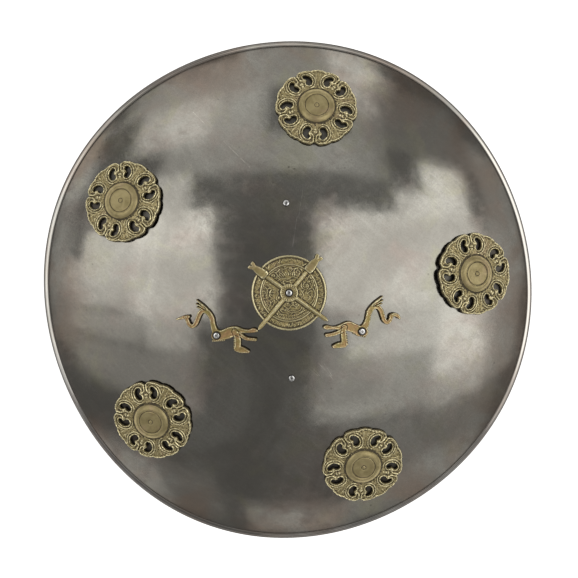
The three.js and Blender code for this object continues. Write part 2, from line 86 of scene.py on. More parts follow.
def bead(distance: Array, half_width: float) -> Array:
    """Height share of a rounded ridge, from 1 on its middle line to 0 at its half width."""
    t = np.clip(np.abs(distance) / half_width, 0.0, 1.0)
    return np.cos(0.5 * np.pi * t) ** 1.3


def cap(distance: Array, radius: float | Array) -> Array:
    """Height share of a half ball, from 1 in its middle to 0 at its radius."""
    return np.sqrt(np.clip(1 - (distance / radius) ** 2, 0, 1))


def rounding(edge: Array, radius: float) -> Array:
    """How far a rounded edge lies below its face, at a distance inside the edge."""
    return radius * (1 - cap(np.clip(1 - edge / radius, 0, 1), 1.0))


def grain(x: Array, y: Array, size: float, seed: int) -> Array:
    """Smooth random values over a plane, the same on every run.

    Args:
        x: Places along the first axis.
        y: Places along the second axis.
        size: Size of one grain.
        seed: Chooses the pattern.

    Returns:
        Values between -1 and 1.
    """
    lattice = np.random.RandomState(seed).uniform(-1.0, 1.0, (128, 128))
    u, v = x / size + 400.0, y / size + 400.0
    i, j = np.floor(u).astype(int), np.floor(v).astype(int)
    s, t = smooth(0.0, 1.0, u - i), smooth(0.0, 1.0, v - j)
    i, j = i % 127, j % 127
    low = lattice[i, j] * (1 - s) + lattice[i + 1, j] * s
    high = lattice[i, j + 1] * (1 - s) + lattice[i + 1, j + 1] * s
    return low * (1 - t) + high * t


def smooth_path(stations: Sequence[Sequence[float]], between: int = 5) -> Array:
    """A smooth line through stations, with every value of a station followed.

    Args:
        stations: Points, each with any further values such as a half width.
        between: How many steps go between two stations.

    Returns:
        The points of the smooth line, one row each.
    """
    p = np.asarray(stations, dtype=float)
    padded = np.vstack([2 * p[0] - p[1], p, 2 * p[-1] - p[-2]])
    rows = []
    for k in range(1, len(padded) - 2):
        a, b, c, d = padded[k - 1 : k + 3]
        for t in np.linspace(0, 1, between, endpoint=False):
            curve = (2 * a - 5 * b + 4 * c - d) * t**2 + (3 * b - a - 3 * c + d) * t**3
            rows.append(0.5 * (2 * b + (c - a) * t + curve))
    return np.array([*rows, p[-1]])


def segment_distance(x: Array, y: Array, start: Sequence[float], end: Sequence[float]) -> tuple[Array, Array]:
    """Distance from a straight line between two points.

    Args:
        x: Places along the first axis.
        y: Places along the second axis.
        start: Where the line starts.
        end: Where it ends.

    Returns:
        The distance at each place, and the share of the line's length at its nearest point.
    """
    dx, dy = end[0] - start[0], end[1] - start[1]
    t = np.clip(((x - start[0]) * dx + (y - start[1]) * dy) / (dx * dx + dy * dy + 1e-12), 0.0, 1.0)
    return np.hypot(x - start[0] - t * dx, y - start[1] - t * dy), t


def ribbon_distance(x: Array, y: Array, stations: Sequence[Station]) -> Array:
    """Signed distance from the edge of a bent strip of varying width, negative inside it.

    Args:
        x: Places along the first axis.
        y: Places along the second axis.
        stations: The strip's x, y and half width at places along its middle line.

    Returns:
        The distance at each place.
    """
    best = np.full(x.shape, FAR)
    path = smooth_path(stations)
    for start, end in zip(path[:-1], path[1:]):
        reach, t = segment_distance(x, y, start, end)
        best = np.minimum(best, reach - (start[2] + t * (end[2] - start[2])))
    return best


def line_distance(x: Array, y: Array, lines: Sequence[Array]) -> Array:
    """Distance from the nearest of many drawn lines, worked out only near each of them.

    Args:
        x: Places along the first axis.
        y: Places along the second axis.
        lines: Each line's points, one row each.

    Returns:
        The distance at each place.
    """
    margin = 2.0
    best = np.full(x.shape, FAR)
    for line in lines:
        low, high = line[:, :2].min(axis=0) - margin, line[:, :2].max(axis=0) + margin
        near = (x > low[0]) & (x < high[0]) & (y > low[1]) & (y < high[1])
        for start, end in zip(line[:-1], line[1:]):
            best[near] = np.minimum(best[near], segment_distance(x[near], y[near], start, end)[0])
    return best


def union(distances: Sequence[Array], blend: float) -> Array:
    """Joins shapes, given by their signed distances, with a small fillet where they meet.

    Args:
        distances: Signed distance from each shape.
        blend: Size of the fillet.

    Returns:
        The signed distance from the joined shape.
    """
    joined = distances[0]
    for other in distances[1:]:
        h = np.clip(0.5 + 0.5 * (other - joined) / blend, 0.0, 1.0)
        joined = other * (1 - h) + joined * h - blend * h * (1 - h)
    return joined


def polar(radius: Array | float, bearing: Array | float) -> Array:
    """Points at a distance from the middle and a bearing in radians, one row each."""
    return np.column_stack([radius * np.cos(bearing), radius * np.sin(bearing)])


# Meshes


def ring_faces(rings: int, around: int) -> Faces:
    """Quads between successive rings of points, which are numbered ring after ring."""
    starts = [(k * around, i, (i + 1) % around) for k in range(rings - 1) for i in range(around)]
    return [(a + i, a + n, a + around + n, a + around + i) for a, i, n in starts]


@dataclass
class Surface:
    """A mesh in the making: points in millimetres, faces, and how raised or sunken each point is, a value
    that also carries painted shade and painted reflection.
    """

    points: Array
    faces: Faces
    relief: Array

    def joined(self, other: "Surface") -> "Surface":
        """This surface and another one, side by side in one mesh."""
        shift = len(self.points)
        faces = self.faces + [tuple(i + shift for i in face) for face in other.faces]
        relief = np.concatenate([self.relief, other.relief])
        return Surface(np.vstack([self.points, other.points]), faces, relief)

    def piece(self, name: str, place: Matrix, sharp: float) -> bpy.types.Object:
        """Makes the scene's object.

        Args:
            name: The object's name.
            place: Where the piece's own frame sits, in millimetres.
            sharp: Angle in degrees over which an edge stays sharp.

        Returns:
            The object, with its place in its mesh.
        """
        mesh = bpy.data.meshes.new(name)
        mesh.from_pydata(self.points.tolist(), [], self.faces)
        mesh.transform(Matrix.Scale(MILLIMETRE, 4) @ place)
        mesh.polygons.foreach_set("use_smooth", [True] * len(mesh.polygons))
        mesh.set_sharp_from_angle(angle=math.radians(sharp))
        layer = mesh.attributes.new("relief", "FLOAT", "POINT")
        layer.data.foreach_set("value", self.relief.astype(np.float32))
        mesh.validate()
        made = bpy.data.objects.new(name, mesh)
        bpy.context.scene.collection.objects.link(made)
        return made


@dataclass(frozen=True)
class Casting:
    """A flat casting worked out on a grid: an outline, a face and a back."""

    outline: Field
    face: Field
    back: Field
    half_size: tuple[float, float, float, float]
    step: float
    mask: Callable[[Array, Array, Array], Array]
    edge_wear: float = 0.3
    edge_width: float = 0.55
    wall_shade: float = -0.5
    least_thickness: float = 0.2
    brow: float = 0.35
    reach: float = 0.9
    most_relief: float = 1.2

    def surface(self) -> Surface:
        """Builds the closed mesh.

        Returns:
            The casting, with its worn crests and dark hollows marked in its relief, and its walls marked dark
            as painted shade.
        """
        x_low, x_high, y_low, y_high = self.half_size
        gx, gy = np.meshgrid(np.arange(x_low, x_high + self.step, self.step),
                             np.arange(y_low, y_high + self.step, self.step))
        distance = self.outline(gx, gy)
        distance = np.where(np.abs(distance) < 1e-6, 1e-6, distance)
        inside = distance < 0
        places, corner, crossings = self._plan(gx, gy, distance)
        top, walls = self._cells(corner, crossings)

        x, y = places[:, 0], places[:, 1]
        high = self.face(x, y)
        low = np.minimum(self.back(x, y), high - self.least_thickness)
        brow = high - np.minimum(self.brow, 0.4 * (high - low))
        points = np.vstack([np.column_stack([x, y, z]) for z in (high, brow, low)])
        size = len(places)
        faces = top + [tuple(i + 2 * size for i in reversed(face)) for face in top]
        for k in (0, size):
            faces += [(b + k, a + k, a + k + size, b + k + size) for a, b in walls]

        raised = self._raised(gx, gy, distance)
        i = np.clip(np.round((x - x_low) / self.step).astype(int), 0, gx.shape[1] - 1)
        j = np.clip(np.round((y - y_low) / self.step).astype(int), 0, gx.shape[0] - 1)
        worn = np.clip(raised[j, i], -self.most_relief, self.most_relief)
        worn = self.mask(np.where(inside[j, i], worn, self.edge_wear), x, y)
        # The walls and the back are marked dark as painted shade.
        return Surface(points, faces, np.concatenate([worn, np.full(2 * size, self.wall_shade)]))

    def _plan(self, gx: Array, gy: Array, distance: Array) -> tuple[Array, Array, list[Array]]:
        """Finds the points of the face: grid points on it, and where grid lines cross its outline.

        Args:
            gx: First coordinate of the grid.
            gy: Second coordinate of the grid.
            distance: Distance of the grid points from the outline.

        Returns:
            The points, the number of each grid point that is one, and of each crossing along x and along y.
        """
        inside = distance < 0
        count = int(inside.sum())
        plan, crossings = [np.column_stack([gx[inside], gy[inside]])], []
        corner = np.full(gx.shape, -1)
        corner[inside] = np.arange(count)
        every, first, last = slice(None), slice(None, -1), slice(1, None)
        for a, b in (((every, first), (every, last)), ((first, every), (last, every))):
            cut = inside[a] != inside[b]
            t = np.clip(distance[a] / (distance[a] - distance[b] + 1e-12), 0.03, 0.97)[cut]
            plan.append(np.column_stack([g[a][cut] + t * (g[b][cut] - g[a][cut]) for g in (gx, gy)]))
            numbers = np.full(cut.shape, -1)
            numbers[cut] = count + np.arange(cut.sum())
            count += int(cut.sum())
            crossings.append(numbers)
        return np.vstack(plan), corner, crossings

    @staticmethod
    def _cells(corner: Array, crossings: list[Array]) -> tuple[Faces, list[tuple[int, int]]]:
        """Makes the faces of the grid's cells, cut off along the outline.

        Args:
            corner: Number of each grid point that is on the face, or -1.
            crossings: Number of each crossing of the outline along x and along y, or -1.

        Returns:
            The faces, and the edges that lie on the outline.
        """
        corners = [corner[:-1, :-1], corner[:-1, 1:], corner[1:, 1:], corner[1:, :-1]]
        whole = np.logical_and.reduce([c >= 0 for c in corners])
        some = np.logical_or.reduce([c >= 0 for c in corners]) & ~whole
        top = [tuple(quad) for quad in np.column_stack([c[whole] for c in corners]).tolist()]
        walls = []
        across, along = crossings
        for i, j in np.argwhere(some):
            edges = (across[i, j], along[i, j + 1], across[i + 1, j], along[i, j])
            ring, leaving = [], []
            for c, e in zip((int(c[i, j]) for c in corners), edges):
                if c >= 0:
                    ring.append(c)
                if e >= 0:
                    ring.append(int(e))
                    leaving.append((int(e), c >= 0))
            if len(ring) >= 3:
                top.append(tuple(ring))
                walls += [(e, leaving[(k + 1) % len(leaving)][0])
                          for k, (e, out) in enumerate(leaving) if out]
        return top, walls

    def _raised(self, gx: Array, gy: Array, distance: Array) -> Array:
        """How far each point of the grid stands above its surroundings on the casting.

        Args:
            gx: First coordinate of the grid.
            gy: Second coordinate of the grid.
            distance: Distance of the grid points from the outline.

        Returns:
            Values about 0, above it on crests and edges and below it in hollows.
        """
        inside = distance < 0
        height = np.where(inside, self.face(gx, gy), 0.0)
        total, weight = height.copy(), inside.astype(float)
        reach = max(1, round(self.reach / self.step))
        for axis in (0, 1, 0, 1, 0, 1):
            total = sum(np.roll(total, k, axis) for k in range(-reach, reach + 1))
            weight = sum(np.roll(weight, k, axis) for k in range(-reach, reach + 1))
        raised = height - total / np.maximum(weight, 1e-9)
        return raised + self.edge_wear * bead(distance + 0.35, self.edge_width)


def skin(rings: Sequence[Array], ends: tuple[float, float], marks: Sequence[float]) -> Surface:
    """Skins a run of rings about an axis and closes it with a point on the axis at each end.

    Args:
        rings: Each ring's points, from the lower end round to the upper one.
        ends: Heights of the lower and of the upper end.
        marks: How dark or bright each ring is marked in the relief, as painted shade and painted reflection.

    Returns:
        The closed surface.
    """
    around = len(rings[0])
    points = np.vstack([*rings, [[0.0, 0.0, ends[0]], [0.0, 0.0, ends[1]]]])
    bottom, top = len(points) - 2, len(points) - 1
    faces = ring_faces(len(rings), around)
    for i in range(around):
        n = (i + 1) % around
        faces += [(bottom, n, i), (bottom - around + i, bottom - around + n, top)]
    return Surface(points, faces, np.append(np.repeat(marks, around), [0.0, 0.0]))


def turned(profile: Sequence[tuple[float, float, float]], ends: tuple[float, float], sides: int) -> Surface:
    """A turned piece.

    Args:
        profile: Radius, height and painted shade of each step, from its lower end round to its upper one.
        ends: Heights of the lower and of the upper end, on the axis.
        sides: Number of sides.

    Returns:
        The closed surface.
    """
    bearing = np.arange(sides) * 2 * math.pi / sides
    rings = [np.column_stack([polar(radius, bearing), np.full(sides, height)])
             for radius, height, _ in profile]
    return skin(rings, ends, [mark for _, _, mark in profile])


# The dome


@dataclass(frozen=True)
class DomeShape:
    """The shield's dome and rim as the solids have them."""

    rim_radius: float = 225.0
    plate_thickness: float = 1.6
    dome_rise: float = 60.0
    lip_drop: float = 8.0
    lip_run: float = 5.0
    rim_waves: tuple[tuple[int, float, float], ...] = ((2, 2.2, 95.0), (3, 0.8, 30.0), (4, 1.2, 66.0))
    rim_sides: int = 48

    @property
    def crease_radius(self) -> float:
        """Radius of the crease above the lip."""
        return self.rim_radius - self.lip_run

    @property
    def sphere_radius(self) -> float:
        """Radius of the sphere that the dome is part of."""
        return (self.crease_radius**2 + self.dome_rise**2) / (2 * self.dome_rise)

    def height(self, radius: Array | float, inset: float = 0.0) -> Array | float:
        """Height of the dome at a distance from its axis, on a sphere `inset` inside the outer one."""
        centre = self.lip_drop + self.dome_rise - self.sphere_radius
        return centre + np.sqrt((self.sphere_radius - inset) ** 2 - np.square(radius))

    def slope(self, radius: float) -> float:
        """Slope of the dome at a distance from its axis, in radians."""
        return math.asin(radius / self.sphere_radius)

    def rim_deviation(self, bearing: Array) -> Array:
        """How far the hand-cut rim lies outside its mean radius at a bearing in radians."""
        return sum(rise * np.cos(lobes * (bearing - math.radians(peak)))
                   for lobes, rise, peak in self.rim_waves)

    def axis(self) -> Matrix:
        """The dome's own frame, in the frame of the object, whose origin is the middle of the rim's box."""
        bearing = np.arange(self.rim_sides) * 2 * math.pi / self.rim_sides
        rim = polar(self.rim_radius + self.rim_deviation(bearing), bearing)
        return Matrix.Translation((*(-(rim.min(axis=0) + rim.max(axis=0)) / 2), 0.0))

    def seat(self, radius: float, bearing: float, turn: float = 0.0, lean: float = 0.0) -> Matrix:
        """The frame of a piece that touches the dome.

        Args:
            radius: Distance from the dome's axis.
            bearing: Direction from the axis, in degrees.
            turn: How far the piece is turned, seen from above, in degrees.
            lean: How far it tips outwards from the dome's slope, in degrees.

        Returns:
            The piece's frame, in millimetres.
        """
        return (
            self.axis()
            @ Matrix.Rotation(math.radians(bearing), 4, "Z")
            @ Matrix.Translation((radius, 0.0, float(self.height(radius))))
            @ Matrix.Rotation(self.slope(radius) + math.radians(lean), 4, "Y")
            @ Matrix.Rotation(math.radians(turn - bearing), 4, "Z")
        )

    def seat_at(self, across: float, up: float, turn: float = 0.0) -> Matrix:
        """The frame of a piece given by its place across and up the shield."""
        return self.seat(math.hypot(across, up), math.degrees(math.atan2(up, across)), turn)


# Shader effects


class ShaderGraph:
    """A small helper that adds and wires shader nodes."""

    def __init__(self, tree: bpy.types.NodeTree) -> None:
        """Keeps the tree that the nodes go into."""
        self.tree = tree

    def node(self, kind: str, inputs: dict[str | int, object] | None = None,
             **settings: object) -> bpy.types.Node:
        """Adds a node.

        Args:
            kind: Blender's name for the node.
            inputs: Value or output socket for each input.
            settings: The node's own settings.

        Returns:
            The node.
        """
        made = self.tree.nodes.new(kind)
        for key, value in settings.items():
            setattr(made, key, value)
        for key, value in (inputs or {}).items():
            if isinstance(value, Socket):
                self.tree.links.new(value, made.inputs[key])
            else:
                made.inputs[key].default_value = value
        return made

    def link(self, source: Socket, target: Socket) -> None:
        """Wires one socket to another."""
        self.tree.links.new(source, target)

    def place(self) -> Socket:
        """Places on the object, in metres."""
        return self.node("ShaderNodeTexCoord").outputs["Object"]

    def relief(self) -> Socket:
        """How raised or sunken each place of a mesh is."""
        return self.node("ShaderNodeAttribute", attribute_name="relief").outputs["Fac"]

    def noise(self, place: object, scale: float, detail: float = 2.0) -> Socket:
        """Plain noise at a scale, with a value from about 0 to 1."""
        inputs = {"Vector": place, "Scale": scale, "Detail": detail, "Roughness": 0.55}
        return self.node("ShaderNodeTexNoise", inputs).outputs["Fac"]

    def math(self, operation: str, first: object, second: object, clamp: bool = False) -> Socket:
        """One sum on values."""
        made = self.node("ShaderNodeMath", {0: first, 1: second}, operation=operation, use_clamp=clamp)
        return made.outputs[0]

    def times(self, first: object, second: object) -> Socket:
        """One value times another."""
        return self.math("MULTIPLY", first, second)

    def plus(self, first: object, second: object, clamp: bool = False) -> Socket:
        """One value plus another."""
        return self.math("ADD", first, second, clamp)

    def vector(self, operation: str, first: object, second: object) -> Socket:
        """One sum on vectors, which gives a plain value for a distance or a dot product."""
        made = self.node("ShaderNodeVectorMath", {0: first, 1: second}, operation=operation)
        return made.outputs["Value" if operation in ("DISTANCE", "DOT_PRODUCT") else "Vector"]

    def ramp(self, value: object, low: object, high: object, to_low: float = 0.0,
             to_high: float = 1.0) -> Socket:
        """Rises smoothly between two outputs as a value goes from low to high."""
        inputs = {0: value, 1: low, 2: high, 3: to_low, 4: to_high}
        return self.node("ShaderNodeMapRange", inputs, interpolation_type="SMOOTHSTEP", clamp=True).outputs[0]

    def mix(self, tone: object, layers: Iterable[tuple[object, object]]) -> Socket:
        """Lays colours over a tone one after the other, each by its share."""
        for share, colour in layers:
            tone = self.node("ShaderNodeMix", {0: share, 6: tone, 7: colour}, data_type="RGBA").outputs[2]
        return tone

    def shared(self, group: bpy.types.NodeTree, **inputs: object) -> bpy.types.Node:
        """Adds a shared effect, with a value or an output socket for each named input."""
        return self.node("ShaderNodeGroup", inputs, node_tree=group)

    def mask(self, group: bpy.types.NodeTree, **inputs: object) -> Socket:
        """The one output of a shared effect."""
        return self.shared(group, **inputs).outputs[0]

    def bump(self, height: object, strength: float, distance: float, **inputs: object) -> Socket:
        """A bump, with a strength and a height in metres."""
        inputs |= {"Strength": strength, "Distance": distance, "Height": height}
        return self.node("ShaderNodeBump", inputs).outputs[0]


def effect(name: str, inputs: dict[str, float | None], outputs: Sequence[str]) -> tuple:
    """Starts a node group.

    Args:
        name: The group's name.
        inputs: Each input's starting value, or None for a vector.
        outputs: Names of its outputs, all plain values.

    Returns:
        The group, a graph that fills it, its inputs by name and its output node.
    """
    group = bpy.data.node_groups.new(name, "ShaderNodeTree")
    for label, value in inputs.items():
        kind = "NodeSocketVector" if value is None else "NodeSocketFloat"
        socket = group.interface.new_socket(label, in_out="INPUT", socket_type=kind)
        if value is not None:
            socket.default_value = value
    for label in outputs:
        group.interface.new_socket(label, in_out="OUTPUT", socket_type="NodeSocketFloat")
    graph = ShaderGraph(group)
    given = graph.node("NodeGroupInput").outputs
    return group, graph, {label: given[label] for label in inputs}, graph.node("NodeGroupOutput")


class Effects:
    """Effects that several finishes use, each built once as a node group."""

    def __init__(self) -> None:
        """Builds the groups."""
        self.patches = self._patches()
        self.wear = self._wear()
        self.pits = self._pits()
        self.rubbing = self._rubbing()
        self.scratch = self._scratch()

    def _patches(self) -> bpy.types.NodeTree:
        """Soft blotches, as a worn or oxidised metal has them."""
        inputs = {"Place": None, "Scale": 20.0, "Low": 0.4, "High": 0.6}
        group, g, given, result = effect("Patches", inputs, ["Mask"])
        settings = {"Vector": given["Place"], "Scale": given["Scale"], "Detail": 5.0, "Roughness": 0.6,
                    "Distortion": 0.6}
        blotches = g.node("ShaderNodeTexNoise", settings).outputs["Fac"]
        g.link(g.ramp(blotches, given["Low"], given["High"]), result.inputs["Mask"])
        return group

    def _wear(self) -> bpy.types.NodeTree:
        """Rubbed crests and patina in the hollows of a relief, with the painted shade that pieces mark in it.
        """
        inputs = {"Relief": 0.0, "Place": None, "Rub": 0.2, "Grime": 0.1}
        group, g, given, result = effect("Wear, patina and painted shade", inputs, ["Rubbed", "GrimeAndShade"])
        uneven = g.times(g.plus(g.noise(given["Place"], 420.0, 3.0), -0.5), 0.28)
        level = g.plus(given["Relief"], uneven)
        g.link(g.ramp(level, g.times(given["Rub"], 0.35), given["Rub"]), result.inputs["Rubbed"])
        sunk, deepest = g.times(level, -1.0), g.times(given["Grime"], 3.0)
        g.link(g.ramp(sunk, given["Grime"], deepest), result.inputs["GrimeAndShade"])
        return group

    def _pits(self) -> bpy.types.NodeTree:
        """Small round pits, thinly and unevenly strewn."""
        group, g, given, result = effect("Pits", {"Place": None, "Scale": 150.0, "Share": 0.5}, ["Depth"])
        cells = g.node("ShaderNodeTexVoronoi", {"Vector": given["Place"], "Scale": given["Scale"]})
        dot = g.ramp(cells.outputs["Distance"], 0.05, 0.22, 1.0, 0.0)
        here = g.ramp(g.noise(given["Place"], 14.0, 4.0), given["Share"], 0.8)
        chance = g.node("ShaderNodeSeparateColor", {0: cells.outputs["Color"]}).outputs[0]
        g.link(g.times(g.times(dot, here), g.ramp(chance, 0.55, 0.8)), result.inputs["Depth"])
        return group

    def _rubbing(self) -> bpy.types.NodeTree:
        """Fine rubbing marks that run mostly one way, broken up so that they fade in and out."""
        inputs = {"Place": None, "Along": 14.0, "Across": 900.0, "Turn": 0.3}
        group, g, given, result = effect("Rubbing marks", inputs, ["Height"])
        turn = g.node("ShaderNodeCombineXYZ", {2: given["Turn"]}).outputs[0]
        bent = g.node("ShaderNodeVectorRotate", {"Vector": given["Place"], "Rotation": turn},
                      rotation_type="EULER_XYZ").outputs[0]
        scale = g.node("ShaderNodeCombineXYZ", {0: given["Along"], 1: given["Across"], 2: given["Across"]})
        g.link(g.noise(g.vector("MULTIPLY", bent, scale.outputs[0]), 1.0), result.inputs["Height"])
        return group

    def _scratch(self) -> bpy.types.NodeTree:
        """One long scratch seen from above, from a start to an end, that skips here and there."""
        inputs = {"Place": None, "Start": None, "End": None, "Width": 0.0004}
        group, g, given, result = effect("Scratch line", inputs, ["Mask"])
        place, start, end = (g.vector("MULTIPLY", given[label], (1.0, 1.0, 0.0))
                             for label in ("Place", "Start", "End"))
        whole, here = g.vector("SUBTRACT", end, start), g.vector("SUBTRACT", place, start)
        along, length = g.vector("DOT_PRODUCT", here, whole), g.vector("DOT_PRODUCT", whole, whole)
        nearest = g.vector("MULTIPLY", whole, g.math("DIVIDE", along, length, clamp=True))
        gap = g.math("DIVIDE", g.vector("DISTANCE", here, nearest), given["Width"])
        skips = g.ramp(g.noise(given["Place"], 160.0), 0.42, 0.55, 0.25, 1.0)
        g.link(g.times(g.math("SUBTRACT", 1.0, gap, clamp=True), skips), result.inputs["Mask"])
        return group


# Finishes


@dataclass(frozen=True)
class Finish:
    """What every finish shares: a name, and how its material starts."""

    name: str

    def material(self, effects: Effects) -> bpy.types.Material:
        """Builds the material.

        Args:
            effects: The shared effects.

        Returns:
            The material.
        """
        material = bpy.data.materials.new(self.name)
        material.use_nodes = True
        shader = material.node_tree.nodes["Principled BSDF"]
        self.paint(ShaderGraph(material.node_tree), shader.inputs, effects)
        return material

    def paint(self, g: ShaderGraph, shader: bpy.types.NodeInputs, effects: Effects) -> None:
        """Wires the finish to the sockets of the material's main shader.

        Args:
            g: The material's graph.
            shader: The main shader's input sockets.
            effects: The shared effects.
        """
        raise NotImplementedError


@dataclass(frozen=True)
class PlateSteel(Finish):
    """Dark satin steel with a patchy bloom, with painted reflection and painted shade on its lip and painted
    shade under the castings.
    """

    shaded_seats: tuple[tuple[Vector, float], ...] = ()
    scratches: tuple[tuple[Vector, Vector], ...] = ()
    scratch_width: float = 0.00034
    deep: Colour = (0.27, 0.258, 0.232, 1.0)
    light: Colour = (0.40, 0.392, 0.355, 1.0)
    bloom: Colour = (0.345, 0.275, 0.245, 1.0)
    olive: Colour = (0.345, 0.34, 0.235, 1.0)
    streak: Colour = (0.47, 0.45, 0.41, 1.0)
    rust: Colour = (0.30, 0.215, 0.165, 1.0)
    speck: Colour = (0.17, 0.16, 0.14, 1.0)
    pit: Colour = (0.07, 0.062, 0.055, 1.0)
    bare: Colour = (0.80, 0.77, 0.70, 1.0)
    scale: Colour = (0.13, 0.118, 0.105, 1.0)
    grime_and_shade: Colour = (0.03, 0.026, 0.022, 1.0)
    smooth_roughness: float = 0.12
    dull_roughness: float = 0.27

    def paint(self, g: ShaderGraph, shader: bpy.types.NodeInputs, effects: Effects) -> None:
        """Wires the plate's steel: its tones from the outside in, its painted shade, its roughness and its
        bump.

        Args:
            g: The material's graph.
            shader: The main shader's input sockets.
            effects: The shared effects.
        """
        place, relief = g.place(), g.relief()

        def blotches(scale: float, low: float, high: float) -> Socket:
            """Soft blotches of a scale, between two thresholds."""
            return g.mask(effects.patches, Place=place, Scale=scale, Low=low, High=high)

        def rubbing(along: float, across: float, turn: float) -> Socket:
            """Rubbing marks with a scale along and across them."""
            return g.mask(effects.rubbing, Place=place, Along=along, Across=across, Turn=turn)

        normal = g.node("ShaderNodeTexCoord").outputs["Normal"]
        facing = g.node("ShaderNodeSeparateXYZ", {0: normal}).outputs[2]
        outside = g.ramp(facing, 0.0, 0.2)
        inside = g.math("SUBTRACT", 1.0, outside)
        clouds, stains = blotches(9.0, 0.36, 0.66), blotches(19.0, 0.46, 0.72)
        mottle = blotches(85.0, 0.35, 0.7)
        brushed = g.ramp(rubbing(10.0, 330.0, 0.72), 0.46, 0.74)
        streaks = g.times(brushed, g.ramp(clouds, 0.1, 0.9, 0.08, 0.32))
        near_rim = g.ramp(g.vector("DISTANCE", place, (0.0, 0.0, 0.0)), 0.165, 0.222, 0.0, 0.62)
        pits = g.mask(effects.pits, Place=place, Scale=160.0, Share=0.5)
        tone = g.mix(self.deep, [
            (clouds, self.light),
            (g.times(stains, 0.5), self.bloom),
            (g.times(blotches(27.0, 0.5, 0.7), 0.45), self.olive),
            (streaks, self.streak),
            (g.times(blotches(14.0, 0.4, 0.64), near_rim), self.rust),
            (g.times(mottle, 0.16), self.deep),
            (g.times(blotches(620.0, 0.42, 0.62), 0.17), self.speck),
            (g.times(pits, 0.6), self.pit),
            # Painted reflection: the plate's bright lip marks show as bare steel.
            (g.ramp(relief, 0.05, 0.9), self.bare),
            (g.times(inside, 0.55), self.scale),
        ])
        for start, end in self.scratches:
            drawn = g.mask(effects.scratch, Place=place, Start=start, End=end, Width=self.scratch_width)
            tone = g.mix(tone, [(g.times(g.times(drawn, outside), 0.45), self.bare)])
        # Painted shade from the plate's marks: the crease, the foot and the dark ends of the lip.
        painted_shade = g.ramp(relief, -0.1, -0.9, 0.0, 0.92)
        # Painted shade: a dark ring on the plate under each rosette and under the badge.
        for centre, radius in self.shaded_seats:
            gap = g.vector("DISTANCE", place, centre)
            shade = g.ramp(gap, radius + 0.0012, radius - 0.0008, 0.0, 0.72)
            painted_shade = g.math("MAXIMUM", painted_shade, g.times(shade, outside))
        g.link(g.mix(tone, [(painted_shade, self.grime_and_shade)]), shader["Base Color"])
        shader["Metallic"].default_value = 1.0

        dull = g.plus(g.times(mottle, 0.4), g.times(stains, 0.4), clamp=True)
        rough = g.ramp(dull, 0.0, 1.0, self.smooth_roughness, self.dull_roughness)
        for mask, share in ((painted_shade, 0.35), (inside, 0.16)):
            rough = g.plus(rough, g.times(mask, share), clamp=True)
        g.link(rough, shader["Roughness"])

        height = g.plus(g.times(rubbing(25.0, 1300.0, 1.45), 0.1), g.times(g.noise(place, 1800.0), 0.1))
        fine = g.bump(g.plus(height, g.times(pits, -0.8)), 0.12, 0.0003)
        g.link(g.bump(g.noise(place, 30.0), 0.2, 0.0008, Normal=fine), shader["Normal"])


@dataclass(frozen=True)
class CastBrass(Finish):
    """Aged cast brass: dull on its ground, bright on its worn crests and dark in its hollows, with painted
    shade on its walls and round the rivets.
    """

    ground: Colour = (0.47, 0.39, 0.20, 1.0)
    stain: Colour = (0.35, 0.285, 0.135, 1.0)
    worn: Colour = (0.88, 0.79, 0.49, 1.0)
    grime_and_shade: Colour = (0.05, 0.04, 0.026, 1.0)
    flush: Colour = (0.46, 0.31, 0.23, 1.0)
    flush_share: float = 0.35
    rub: float = 0.3
    grime_and_shade_level: float = 0.09
    ground_roughness: float = 0.4
    worn_roughness: float = 0.24
    ground_metal: float = 0.74

    def paint(self, g: ShaderGraph, shader: bpy.types.NodeInputs, effects: Effects) -> None:
        """Wires the brass: stained ground, worn crests, patina in the hollows with painted shade, and a sandy
        skin.

        Args:
            g: The material's graph.
            shader: The main shader's input sockets.
            effects: The shared effects.
        """
        place = g.place()
        wear = g.shared(effects.wear, Relief=g.relief(), Place=place, Rub=self.rub, Grime=self.grime_and_shade_level)
        rubbed, grime_and_shade_mask = wear.outputs["Rubbed"], wear.outputs["GrimeAndShade"]
        flushes = g.mask(effects.patches, Place=place, Scale=60.0, Low=0.5, High=0.72)
        g.link(g.mix(self.ground, [
            (g.mask(effects.patches, Place=place, Scale=120.0, Low=0.38, High=0.68), self.stain),
            (g.times(flushes, self.flush_share), self.flush),
            (rubbed, self.worn),
            # Dark layer: patina in the hollows, and painted shade on the walls and round the rivets.
            (g.times(grime_and_shade_mask, 0.9), self.grime_and_shade),
        ]), shader["Base Color"])
        bared = g.ramp(rubbed, 0.0, 1.0, self.ground_metal, 1.0)
        g.link(g.times(bared, g.ramp(grime_and_shade_mask, 0.0, 1.0, 1.0, 0.3)), shader["Metallic"])
        rough = g.ramp(rubbed, 0.0, 1.0, self.ground_roughness, self.worn_roughness)
        g.link(g.plus(rough, g.times(grime_and_shade_mask, 0.3), clamp=True), shader["Roughness"])
        height = g.plus(g.times(g.noise(place, 1500.0, 3.0), 0.4), g.times(g.noise(place, 500.0), 0.6))
        g.link(g.bump(height, 0.35, 0.00035), shader["Normal"])


